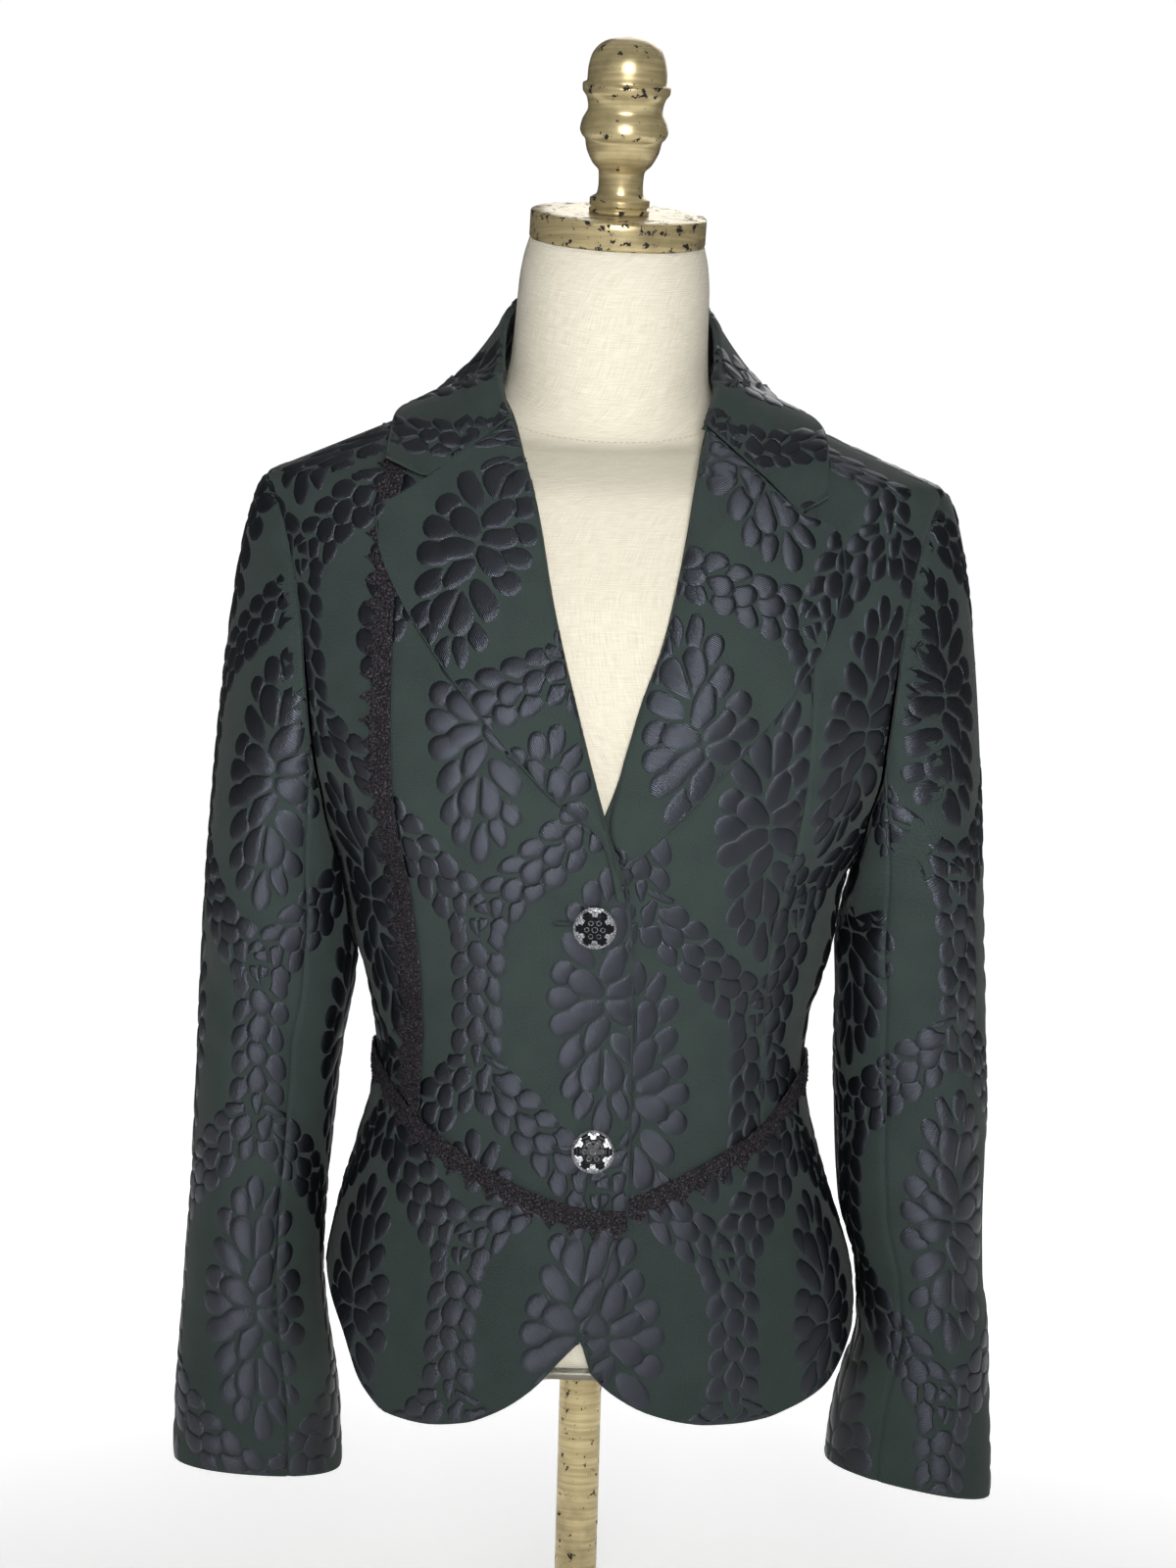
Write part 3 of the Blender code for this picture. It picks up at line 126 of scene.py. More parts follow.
LAPEL_OUTERS = {
    -1: ((0.4975, -0.0130), (0.5285, -0.0041), (0.5548, 0.0264), (0.5907, 0.0597),
         (0.6326, 0.0933), (0.6640, 0.1140), (0.6850, 0.1235), (0.7012, 0.1268),
         (0.7081, 0.1278)),
    1: ((0.5160, 0.0185), (0.5355, 0.0384), (0.5578, 0.0593), (0.5965, 0.0921),
        (0.6220, 0.1114), (0.6500, 0.1270), (0.6800, 0.1328), (0.6990, 0.1310)),
}
LAPEL_TOPS = {
    -1: ((0.7081, 0.1278), (0.7140, 0.1140), (0.7240, 0.0975)),
    1: ((0.6990, 0.1310), (0.7045, 0.1240), (0.7095, 0.1065)),
}
LAPEL_BREAK_LEFT = (0.5160, 0.0140)
LAPEL_TURN_LEFT = (0.5380, 0.0078)
GORGE_ROLL = {-1: (0.7575, 0.0535), 1: (0.7545, 0.0560)}
LAPEL_LIFT = 0.0051
LAPEL_BELLY = 0.0030
COLLAR_ROLL = (
    (0.0545, -0.0600, 0.7620), (0.0595, -0.0380, 0.7800), (0.0620, -0.0140, 0.7985),
    (0.0625, 0.0110, 0.8160), (0.0585, 0.0370, 0.8300), (0.0460, 0.0580, 0.8390),
    (0.0240, 0.0720, 0.8425), (0.0000, 0.0765, 0.8435),
)
COLLAR_EDGE = {
    -1: ((0.1231, -0.0760, 0.7383), (0.1225, -0.0400, 0.7570), (0.1175, -0.0080, 0.7660),
         (0.1120, 0.0220, 0.7720), (0.1000, 0.0480, 0.7745), (0.0800, 0.0690, 0.7730),
         (0.0420, 0.0900, 0.7680), (0.0000, 0.0930, 0.7660)),
    1: ((0.1246, -0.0780, 0.7230), (0.1225, -0.0400, 0.7480), (0.1150, -0.0060, 0.7660),
        (0.1100, 0.0220, 0.7720), (0.1000, 0.0480, 0.7745), (0.0800, 0.0690, 0.7730),
        (0.0420, 0.0900, 0.7680), (0.0000, 0.0930, 0.7660)),
}
# Where the collar's stand is sewn to the neckline, round to the centre back.
COLLAR_FOOT = (
    (0.0540, -0.0600, 0.7590), (0.0610, -0.0400, 0.7700), (0.0650, -0.0180, 0.7790),
    (0.0660, 0.0050, 0.7840), (0.0620, 0.0320, 0.7840), (0.0480, 0.0560, 0.7840),
    (0.0240, 0.0700, 0.7840), (0.0000, 0.0735, 0.7840),
)
COLLAR_NOTCH = {-1: (0.0975, 0.7275), 1: (0.1065, 0.7130)}
COLLAR_HOLLOW = 0.0060
COLLAR_LIFT = 0.0054
SLEEVE_SECTIONS = {     # height, outer x, inner x, front y, back y
    -1: ((0.460, 0.2290, 0.1370, -0.0620, 0.0600), (0.430, 0.2300, 0.1400, -0.0610, 0.0590),
         (0.395, 0.2306, 0.1460, -0.0590, 0.0560), (0.360, 0.2314, 0.1492, -0.0580, 0.0530),
         (0.310, 0.2328, 0.1530, -0.0580, 0.0480), (0.270, 0.2347, 0.1545, -0.0590, 0.0420),
         (0.240, 0.2360, 0.1520, -0.0600, 0.0370), (0.200, 0.2378, 0.1445, -0.0605, 0.0270),
         (0.178, 0.2385, 0.1415, -0.0600, 0.0200), (0.148, 0.2385, 0.1400, -0.0590, 0.0140)),
    1: ((0.460, 0.2290, 0.1420, -0.0620, 0.0600), (0.430, 0.2313, 0.1435, -0.0610, 0.0590),
        (0.395, 0.2330, 0.1440, -0.0590, 0.0560), (0.360, 0.2343, 0.1452, -0.0580, 0.0530),
        (0.310, 0.2340, 0.1490, -0.0580, 0.0480), (0.270, 0.2350, 0.1605, -0.0590, 0.0420),
        (0.240, 0.2385, 0.1622, -0.0600, 0.0370), (0.200, 0.2408, 0.1520, -0.0605, 0.0270),
        (0.178, 0.2419, 0.1480, -0.0600, 0.0200), (0.150, 0.2430, 0.1450, -0.0590, 0.0140)),
}
CUFF_TILT = {-1: 0.04, 1: -0.20}
SLEEVE_SPREAD = math.radians(16)
SLEEVE_LEAD = 0.25
SLEEVE_FULLNESS = 0.90
SLEEVE_CLEARANCE = 0.0022
SLEEVE_TURN_BACK = 0.0012
FRONT_SLEEVE_SEAM = 0.7   # share of the front armhole from the shoulder to the front seam

LACE_POINT = 0.0066
LACE_LIFT = 0.0028
LACE_THICKNESS = 0.0010
BUTTON_PLACES = (("button_upper", 0.0005, 0.4811), ("button_lower", 0.0030, 0.3535))

FORM_CLEARANCE = 0.0070
FORM_DROP = 0.0075
FORM_BOTTOM = 0.2015
FORM_EDGE = 0.010
FORM_ARCH = (0.0205, 0.014, 0.067)
FORM_HIPS = (
    (0.2015, 0.1270), (0.2115, 0.1290), (0.2250, 0.1350), (0.2400, 0.1400), (0.2700, 0.1450),
)
FORM_SHOULDERS = (
    (0.505, 0.1340), (0.540, 0.1440), (0.580, 0.1510), (0.630, 0.1580), (0.680, 0.1660),
    (0.705, 0.1690), (0.722, 0.1690),
)
NECK_AXIS = np.array((math.sin(math.radians(2)), -math.sin(math.radians(11)), 1.0))
NECK_AXIS /= np.linalg.norm(NECK_AXIS)
CAP_TOP = np.array((0.0031, -0.0120, 0.8810))
CAP_RADIUS = 0.0508
CAP_HEIGHT = 0.0160
FINIAL = (
    (0.0170, 0.0003), (0.0175, 0.0022), (0.0160, 0.0034), (0.0173, 0.0050), (0.0173, 0.0080),
    (0.0135, 0.0110), (0.0128, 0.0165), (0.0132, 0.0235), (0.0170, 0.0280), (0.0210, 0.0360),
    (0.0222, 0.0415), (0.0240, 0.0435), (0.0253, 0.0470), (0.0245, 0.0520), (0.0214, 0.0590),
    (0.0226, 0.0650), (0.0251, 0.0690), (0.0253, 0.0725), (0.0228, 0.0745), (0.0227, 0.0800),
    (0.0213, 0.0880), (0.0165, 0.0950), (0.0090, 0.0985), (0.0001, 0.0997),
)
POLE_RADIUS = 0.0125
BASE_RADIUS = 0.1350
BASE_HEIGHT = 0.0220

# Soft folds of the body: side, front (1) or back (-1), ends as (half width, height), half
# width of the fold and its depth.  A negative depth is a ridge.
BODY_FOLDS = (
    (1, 1, (0.150, 0.540), (0.108, 0.475), 0.011, 0.0035),
    (1, 1, (0.146, 0.498), (0.112, 0.440), 0.010, 0.0030),
    (-1, 1, (0.150, 0.545), (0.118, 0.500), 0.012, 0.0025),
    (1, 1, (0.156, 0.565), (0.118, 0.520), 0.008, -0.0012),
    (1, 1, (0.132, 0.470), (0.106, 0.425), 0.006, -0.0010),
    (-1, 1, (0.140, 0.480), (0.112, 0.430), 0.008, 0.0014),
    (-1, 1, (0.132, 0.440), (0.085, 0.405), 0.007, 0.0012),
    (1, 1, (0.130, 0.425), (0.080, 0.398), 0.007, 0.0013),
    (-1, -1, (0.155, 0.560), (0.100, 0.500), 0.012, 0.0020),
    (1, -1, (0.155, 0.560), (0.100, 0.500), 0.012, 0.0022),
    (-1, -1, (0.120, 0.425), (0.030, 0.405), 0.008, 0.0018),
    (1, -1, (0.118, 0.440), (0.040, 0.420), 0.008, 0.0016),
)
# Soft folds of the sleeves: side, ends as (turn in degrees from the outside over the
# front, height), half width, depth.
SLEEVE_FOLDS = (
    (-1, (95, 0.560), (150, 0.470), 0.014, 0.0035),
    (-1, (40, 0.440), (130, 0.400), 0.014, 0.0025),
    (1, (90, 0.560), (145, 0.480), 0.014, 0.0035),
    (1, (50, 0.420), (130, 0.375), 0.014, 0.0025),
    (-1, (60, 0.395), (135, 0.360), 0.009, 0.0013),
    (-1, (75, 0.340), (140, 0.300), 0.010, 0.0012),
    (-1, (100, 0.480), (150, 0.430), 0.009, 0.0015),
    (-1, (30, 0.250), (120, 0.225), 0.010, 0.0010),
    (1, (60, 0.470), (140, 0.430), 0.010, 0.0016),
    (1, (40, 0.350), (120, 0.318), 0.010, 0.0013),
    (1, (60, 0.270), (130, 0.240), 0.010, 0.0012),
    (-1, (230, 0.430), (310, 0.400), 0.011, 0.0022),
    (1, (230, 0.440), (310, 0.405), 0.011, 0.0022),
    (-1, (240, 0.380), (320, 0.350), 0.010, 0.0016),
    (1, (240, 0.375), (320, 0.350), 0.010, 0.0016),
    (-1, (215, 0.560), (260, 0.500), 0.014, 0.0025),
    (1, (215, 0.560), (260, 0.500), 0.014, 0.0025),
)
NAMES = {-1: "right", 1: "left"}


# ---- curves through tables -------------------------------------------------------------
def smooth_curve(places, values, at):
    """Values of a smooth curve that never overshoots the table."""
    places = np.asarray(places, float)
    values = np.asarray(values, float)
    chords = np.diff(values) / np.diff(places)
    product = chords[:-1] * chords[1:]
    total = np.where(product > 0, chords[:-1] + chords[1:], 1.0)
    slopes = np.concatenate([chords[:1], np.where(product > 0, 2 * product / total, 0.0),
                             chords[-1:]])
    at = np.clip(at, places[0], places[-1])
    k = np.clip(np.searchsorted(places, at, side="right") - 1, 0, len(places) - 2)
    span = places[k + 1] - places[k]
    t = (at - places[k]) / span
    return ((2 * t**3 - 3 * t**2 + 1) * values[k] + (t**3 - 2 * t**2 + t) * span * slopes[k]
            + (3 * t**2 - 2 * t**3) * values[k + 1] + (t**3 - t**2) * span * slopes[k + 1])


def looked_up(table, at, entry=1):
    """The smooth curve through one column of a table, by its first column."""
    table = np.asarray(table, float)
    return smooth_curve(table[:, 0], table[:, entry], at)


def spaced(points, steps, smooth=True):
    """Steps + 1 points spaced evenly along a curve through the points."""
    points = np.asarray(points, float)
    lengths = np.append(0.0, np.cumsum(np.linalg.norm(np.diff(points, axis=0), axis=1)))
    at = np.linspace(0.0, lengths[-1], steps + 1)
    curve = smooth_curve if smooth and len(points) > 2 else (
        lambda places, values, where: np.interp(where, places, values))
    return np.stack([curve(lengths, points[:, k], at) for k in range(points.shape[1])], -1)


def eased(share):
    """0 to 1 with level ends."""
    share = np.clip(share, 0.0, 1.0)
    return share * share * (3 - 2 * share)


def unit(vectors):
    length = np.linalg.norm(vectors, axis=-1, keepdims=True)
    return vectors / np.maximum(length, 1e-12)


# ---- the body's surface ----------------------------------------------------------------
def sway(height):
    most, full, none = HIP_SWAY
    return most * eased((none - height) / (none - full))


def body_ring(height):
    """Half width, depth of the front and depth of the back at each height."""
    (tip_width, tip_height), (neck_width, neck_height) = SHOULDER_TIP, NECK_POINT
    share = (np.asarray(height, float) - tip_height) / (neck_height - tip_height)
    straight = tip_width + (neck_width - tip_width) * share
    width = np.where((share >= 0) & (share <= 1), straight, looked_up(BODY_RINGS, height, 1))
    return width, looked_up(BODY_RINGS, height, 2), looked_up(BODY_RINGS, height, 3)


def angle_at(x, height, back=False):
    """Angle of the body point that lies x to the wearer's left at a height."""
    x = np.asarray(x, float) - sway(height)
    share = np.minimum(np.abs(x) / body_ring(height)[0], 1.0) ** (ROUNDNESS / 2)
    angle = np.copysign(np.arcsin(share), x)
    return np.copysign(math.pi, x) - angle if back else angle


def ridge(across, up, start, end, reach):
    """How strongly a fold from start to end is felt at each place, 0 to 1."""
    run = (end[0] - start[0], end[1] - start[1])
    t = ((across - start[0]) * run[0] + (up - start[1]) * run[1]) / (run[0]**2 + run[1]**2)
    t = np.clip(t, 0.0, 1.0)
    gap = np.hypot(across - start[0] - run[0] * t, up - start[1] - run[1] * t)
    return np.exp(-(gap / reach) ** 2)


def body_points(angle, height, out=0.0):
    """Points of the body's surface, moved out from its axis by out."""
    angle, height = np.broadcast_arrays(np.asarray(angle, float), np.asarray(height, float))
    width, front, back = body_ring(height)
    sine, cosine = np.sin(angle), np.cos(angle)
    power = 2 / ROUNDNESS
    x = width * np.copysign(np.abs(sine) ** power, sine)
    depth = np.where(cosine >= 0, front, back)
    y = -depth * np.copysign(np.abs(cosine) ** power, cosine)
    out = np.full(angle.shape, 0.0) + out
    for side, face, start, end, reach, fall in BODY_FOLDS:
        felt = (side * x > 0) & (face * cosine > 0)
        out = out - felt * fall * ridge(np.abs(x), height, start, end, reach)
    length = np.maximum(np.hypot(x / width, y / depth), 1e-9)
    return np.stack([x + out * x / width / length + sway(height),
                     y + out * y / depth / length, height], -1)


def body_normals(angle, height):
    step = 1e-4
    across = body_points(angle + step, height) - body_points(angle - step, height)
    up = body_points(angle, height + step) - body_points(angle, height - step)
    return unit(np.cross(across, up))


def raised(points, lift):
    """The points, moved out until they are at least lift above the body."""
    points = np.array(points, float)
    lift = np.broadcast_to(lift, points.shape[:-1])
    step = 1e-4

    def level(place):
        width, front, back = body_ring(place[..., 2])
        depth = np.where(place[..., 1] < 0, front, back)
        return ((np.abs(place[..., 0] - sway(place[..., 2])) / width) ** ROUNDNESS
                + (np.abs(place[..., 1]) / depth) ** ROUNDNESS) ** (1 / ROUNDNESS)

    for _ in range(12):
        gradient = np.stack([(level(points + axis) - level(points - axis)) / (2 * step)
                             for axis in np.eye(3) * step], -1)
        steepness = np.maximum(np.linalg.norm(gradient, axis=-1), 1e-6)
        distance = (level(points) - 1.0) / steepness
        move = np.where(distance < lift - 1e-5, np.minimum(lift - distance, 0.01), 0.0)
        points = points + unit(gradient) * move[..., None]
    return points


# Arc lengths round the body from the centre front, and up it, for the flat places.
ARC_ANGLES = np.linspace(-math.pi, 2 * math.pi, 541)
ARC_HEIGHTS = np.linspace(0.190, 0.800, 123)


def arc_table():
    angles, heights = np.meshgrid(ARC_ANGLES, ARC_HEIGHTS)
    points = body_points(angles, heights)
    steps = np.linalg.norm(np.diff(points, axis=1), axis=-1)
    lengths = np.concatenate([np.zeros((len(ARC_HEIGHTS), 1)), np.cumsum(steps, axis=1)], 1)
    return lengths - lengths[:, [180]]


ARCS = arc_table()


def arc(angle, height):
    """Length round the body at a height from the centre front to an angle."""
    row = (height - ARC_HEIGHTS[0]) / (ARC_HEIGHTS[1] - ARC_HEIGHTS[0])
    entry = (angle - ARC_ANGLES[0]) / (ARC_ANGLES[1] - ARC_ANGLES[0])
    j = np.clip(row.astype(int), 0, len(ARC_HEIGHTS) - 2)
    i = np.clip(entry.astype(int), 0, len(ARC_ANGLES) - 2)
    v, u = row - j, entry - i
    return ((1 - v) * ((1 - u) * ARCS[j, i] + u * ARCS[j, i + 1])
            + v * ((1 - u) * ARCS[j + 1, i] + u * ARCS[j + 1, i + 1]))


def flat_place(angle, height, grain):
    """Where a place of the body lay on the uncut cloth, from the grain line's angle."""
    angle = np.asarray(angle, float)
    height = np.asarray(height, float)
    line = body_points(grain, ARC_HEIGHTS)
    climb = np.append(0.0, np.cumsum(np.linalg.norm(np.diff(line, axis=0), axis=1)))
    across = arc(angle, height) - arc(np.full(height.shape, grain), height)
    return np.stack([across, np.interp(height, ARC_HEIGHTS, climb)], -1)


# ---- grids -----------------------------------------------------------------------------
def patch(bottom, right, top, left):
    """A grid of places filled in between four edges that share their corners."""
    u = np.linspace(0, 1, len(bottom))[None, :, None]
    v = np.linspace(0, 1, len(left))[:, None, None]
    sides = left[:, None] * (1 - u) + right[:, None] * u
    ends = bottom[None] * (1 - v) + top[None] * v
    corners = ((1 - u) * (1 - v) * bottom[0] + u * (1 - v) * bottom[-1]
               + (1 - u) * v * top[0] + u * v * top[-1])
    return sides + ends - corners


def with_margins(cells):
    """Places along a grid of so many cells, closer together near both ends."""
    near = np.array((0.0, 0.2, 0.42, 0.7, 1.05, 1.5))
    return np.concatenate([near, np.arange(2, cells - 1), cells - near[::-1]])


def sampled(grid, here):
    """The grid's values at rows and columns given as fractions."""
    j = np.clip(np.floor(here[..., 0]).astype(int), 0, grid.shape[0] - 2)
    i = np.clip(np.floor(here[..., 1]).astype(int), 0, grid.shape[1] - 2)
    v = (here[..., 0] - j)[..., None]
    u = (here[..., 1] - i)[..., None]
    return ((grid[j, i] * (1 - u) + grid[j, i + 1] * u) * (1 - v)
            + (grid[j + 1, i] * (1 - u) + grid[j + 1, i + 1] * u) * v)


def grid_normals(points):
    return unit(np.cross(np.gradient(points, axis=1), np.gradient(points, axis=0)))


def edge_distances(points):
    """Distance of each grid point from the bottom, top, left and right edges."""
    up = np.linalg.norm(np.diff(points, axis=0), axis=-1)
    across = np.linalg.norm(np.diff(points, axis=1), axis=-1)
    bottom = np.concatenate([np.zeros((1, points.shape[1])), np.cumsum(up, axis=0)])
    left = np.concatenate([np.zeros((points.shape[0], 1)), np.cumsum(across, axis=1)], 1)
    return {"bottom": bottom, "top": bottom[-1:] - bottom,
            "left": left, "right": left[:, -1:] - left}


SEAM_WIDTH = 0.0014       # half width of the groove that a pressed seam leaves
SEAM_RIDGE = (0.22, 0.0042, 0.0022)     # its raised lips: share of the depth, place, width


def finished_sheet(points, normals, flat, seams):
    """The sheet with closer rows at its edges and a groove along each seam."""
    here = np.stack(np.meshgrid(*(with_margins(size - 1) for size in points.shape[:2]),
                                indexing="ij"), -1)
    points, normals, flat = (sampled(grid, here) for grid in (points, normals, flat))
    normals = unit(normals)
    distances = edge_distances(points)
    depth = bpy.context.scene.jacket_sizes.seam_depth
    share, place, width = SEAM_RIDGE
    dip = np.zeros(points.shape[:2])
    for edge in seams:
        d = distances[edge]
        dip += depth * np.exp(-(d / SEAM_WIDTH) ** 2)
        dip -= share * depth * np.exp(-((d - place) / width) ** 2)
    return Sheet(points - normals * dip[..., None], normals, flat)


# ---- meshes ----------------------------------------------------------------------------
def make(name, vertices, faces, finishes, flat=None, second=None, sharp=None):
    """A new object from arrays; second marks the faces that take the second finish."""
    mesh = bpy.data.meshes.new(name)
    mesh.from_pydata(np.asarray(vertices).tolist(), [], [list(f) for f in faces])
    for material in finishes:
        mesh.materials.append(material)
    if flat is not None:
        corners = np.empty(len(mesh.loops), int)
        mesh.loops.foreach_get("vertex_index", corners)
        layer = mesh.uv_layers.new(name="cloth")
        layer.data.foreach_set("uv", np.asarray(flat, np.float32)[corners].ravel())
    if second is not None:
        mesh.polygons.foreach_set("material_index", np.asarray(second, np.int32))
    mesh.shade_smooth()
    if sharp:
        mesh.set_sharp_from_angle(angle=math.radians(sharp))
    piece = bpy.data.objects.new(name, mesh)
    bpy.context.scene.collection.objects.link(piece)
    return piece


def grid_faces(rows, columns):
    a = (np.arange(rows - 1)[:, None] * columns + np.arange(columns - 1)).ravel()
    return np.stack([a, a + 1, a + columns + 1, a + columns], -1)


def turned_inward(vertices, faces, normals):
    """Whether the faces look against the directions at their first corners."""
    a, b, last = (vertices[faces[:, k]] for k in (0, 1, -1))
    return np.sum(np.cross(b - a, last - a) * normals[faces[:, 0]]) < 0


def fitted(piece, slot, *nodes):
    """Hangs a piece on the root body and hides the frame nodes that it stands for; slot is not
    used.
    """
    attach(piece, "root")
    if nodes:
        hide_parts(*nodes)
    return piece


RIM_STEPS = 5             # faces round the thickness of a cloth edge
SEWN_SWELL = 0.00025      # how far the edge of a sewn seam rounds out
EDGE_LINES = {            # index of each edge of a grid and of the line beside it
    "bottom": (np.s_[0], np.s_[1]), "top": (np.s_[-1], np.s_[-2]),
    "left": (np.s_[:, 0], np.s_[:, 1]), "right": (np.s_[:, -1], np.s_[:, -2])}


def wall(name, sheet, thickness, finishes, free=()):
    """A closed wall: the sheet, a rim that is rounded at the free edges, an inner sheet."""
    points, normals, flat = sheet
    rows, columns = points.shape[:2]
    index = np.arange(rows * columns).reshape(rows, columns)
    loop = np.concatenate([index[0, :-1], index[:-1, -1], index[-1, :0:-1], index[:0:-1, 0]])
    outward = np.zeros(points.shape)
    swell = np.zeros(points.shape[:2])
    for edge, (here, beside) in EDGE_LINES.items():
        outward[here] += unit(points[here] - points[beside])
        swell[here] = np.maximum(swell[here], thickness / 2 if edge in free else SEWN_SWELL)
    outer, ways = points.reshape(-1, 3), normals.reshape(-1, 3)
    middle = outer[loop] - ways[loop] * thickness / 2
    rings = []
    for turn in math.pi * np.arange(1, RIM_STEPS) / RIM_STEPS:
        rings.append(middle + ways[loop] * (thickness / 2 * math.cos(turn))
                     + unit(outward).reshape(-1, 3)[loop]
                     * (swell.reshape(-1)[loop] * math.sin(turn))[:, None])
    vertices = np.concatenate([outer, outer - ways * thickness] + rings)
    flat = flat.reshape(-1, 2)
    count = rows * columns
    outer_faces = grid_faces(rows, columns)
    faces = [outer_faces, outer_faces[:, ::-1] + count]
    chain = [loop] + [2 * count + k * len(loop) + np.arange(len(loop))
                      for k in range(RIM_STEPS - 1)] + [loop + count]
    for upper, lower in zip(chain, chain[1:]):
        faces.append(np.stack([np.roll(upper, -1), upper, lower, np.roll(lower, -1)], -1))
    faces = np.concatenate(faces)
    second = np.zeros(len(faces), int)
    second[len(outer_faces):2 * len(outer_faces)] = len(finishes) - 1
    if turned_inward(outer, outer_faces, ways):
        faces = faces[:, ::-1]
    return make(name, vertices, faces, finishes,
                np.concatenate([flat, flat] + [flat[loop]] * (RIM_STEPS - 1)), second)


# ---- the woven figure ------------------------------------------------------------------
def chain_of_petals(path, count, lane_distance, length, width):
    """Petals in three staggered lanes along a path, each heading down it."""
    sites = spaced(path, count, smooth=False)
    petals = []
    for lane in range(3):
        offset = lane_distance * (lane - 1)
        for a, b in zip(sites, sites[1:]):
            run = (b - a) / np.linalg.norm(b - a)
            place = a + (b - a) * (0.25 + 0.5 * (lane % 2))
            place = place + np.array((run[1], -run[0])) * offset
            heading = math.atan2(run[1], run[0]) - CHAIN_SPLAY * (lane - 1)
            petals.append((place[0], place[1], heading, length, width))
    return petals


# Rings of a medallion: petals, first turn in degrees, half width and half height of the
# ring, more height and more length towards its ends, length and width of a petal.
MEDALLION_RINGS = ((8, 0, 0.0090, 0.0190, 0.0, 0.0060, 0.0250, 0.0152),
                   (14, 90, 0.0222, 0.0300, 0.0115, 0.0090, 0.0200, 0.0148))
# Petals above and below it: across, up, lean in degrees from upright, length.
SPRAY = ((0, 0.0660, 0, 0.024), (0.0095, 0.0600, -14, 0.022), (-0.0095, 0.0600, 14, 0.022),
         (0.0165, 0.0490, -30, 0.019), (-0.0165, 0.0490, 30, 0.019))
SPRAY_WIDTH = 0.0112
STEM_SHARE = 0.25         # half length of the stem where two chains meet, of half a repeat
# Chains: petals to a lane, distance of the outer lanes, length and width of a petal.
STEM = (5, 0.0088, 0.0225, 0.0136)
BRANCH = (7, 0.0083, 0.0225, 0.0132)
CHAIN_SPLAY = 0.35        # radians that the petals of an outer lane turn outward
LEAST_GAP = 0.0075        # two petals with middles nearer than this are one


@functools.lru_cache(maxsize=None)
def pattern_unit(repeat_width, repeat_height, gap):
    """Petals of one repeat of the figure: across, up, heading, length, width.

    A medallion stands in each eye of a net of petal chains that part and meet again."""
    half, rise = repeat_width / 2, repeat_height / 2
    petals = []
    for count, first, wide, high, higher, longer, length, width in MEDALLION_RINGS:
        for k in range(count):
            turn = math.radians(first + 360 / count * (k + 0.5))
            upright = math.sin(turn) ** 2
            petals.append((wide * math.cos(turn), (high + higher * upright) * math.sin(turn),
                           turn, length + longer * upright, width))
    for end in (-1, 1):
        for x, y, lean, length in SPRAY:
            petals.append((x, end * y, end * math.radians(90 + lean), length, SPRAY_WIDTH))
    straight = STEM_SHARE * rise
    petals += chain_of_petals([(half, straight), (half, -straight)], *STEM)
    for way in (-1, 1):                                 # from the stem to the eye's top
        path = []
        for y in np.linspace(straight, rise - straight, 60):
            t = (y - straight) / (rise - 2 * straight)
            path.append((way * half * (1 - 0.55 * t - 0.45 * float(eased(t))), y))
        petals += chain_of_petals(path[::-1], *BRANCH)
    rng = np.random.default_rng(7)                      # no two woven petals are alike
    petals = np.array(petals)
    petals[:, :2] += rng.normal(0, 0.0006, (len(petals), 2))
    petals[:, 2] += rng.normal(0, 0.07, len(petals))
    petals[:, 3:] *= rng.uniform(0.92, 1.08, (len(petals), 2))
    everywhere = with_neighbours(petals, half, rise)
    petals = petals[[k for k in range(len(petals)) if not np.any(
        np.hypot(*(everywhere[:, :2] - petals[k, :2]).T)[:k] < LEAST_GAP)]]
    return petals, fitted_outlines(petals, with_neighbours(petals, half, rise), gap)


def with_neighbours(petals, half, rise):
    """The petals of one repeat, and then those of the repeats round it."""
    shifts = [(i, j) for i in range(-2, 3) for j in range(-2, 3) if (i + j) % 2 == 0]
    shifts.sort(key=lambda shift: abs(shift[0]) + abs(shift[1]))
    return np.concatenate([petals + np.array((i * half, j * rise, 0, 0, 0))
                           for i, j in shifts])


NEAR_PETAL = 0.036        # a petal farther off than this leaves an outline alone
BEHIND, AHEAD, FACING = -0.45, 0.45, 0.30     # cosines between headings and ways
HEAD_SHARE = np.array((0.94, 0.98))           # length and width of a head that covers a tail
GRAZING = 0.08            # least cosine at which a dividing line cuts an outline
LEAST_SHARE = 0.15        # a petal is never cut down to less than this


def cut_by_head(way, toward, distance, other, gap):
    """How far the ways reach before they meet the petal that lies over this tail."""
    _, _, heading, length, width = other
    size = np.array((length / 2, width / 2)) * HEAD_SHARE + gap
    turned = way - heading
    back = toward + math.pi - heading
    step = np.stack([np.cos(turned), np.sin(turned)], -1) / size
    start = distance * np.array((math.cos(back), math.sin(back))) / size
    a, b = np.sum(step**2, -1), step @ start
    root = b**2 - a * (start @ start - 1)
    hit = (-b - np.sqrt(np.maximum(root, 0))) / a
    return np.where((root > 0) & (hit > 0), hit, np.inf)


def ellipse_reach(length, width, turn):
    return length * width / math.hypot(width * math.cos(turn), length * math.sin(turn))


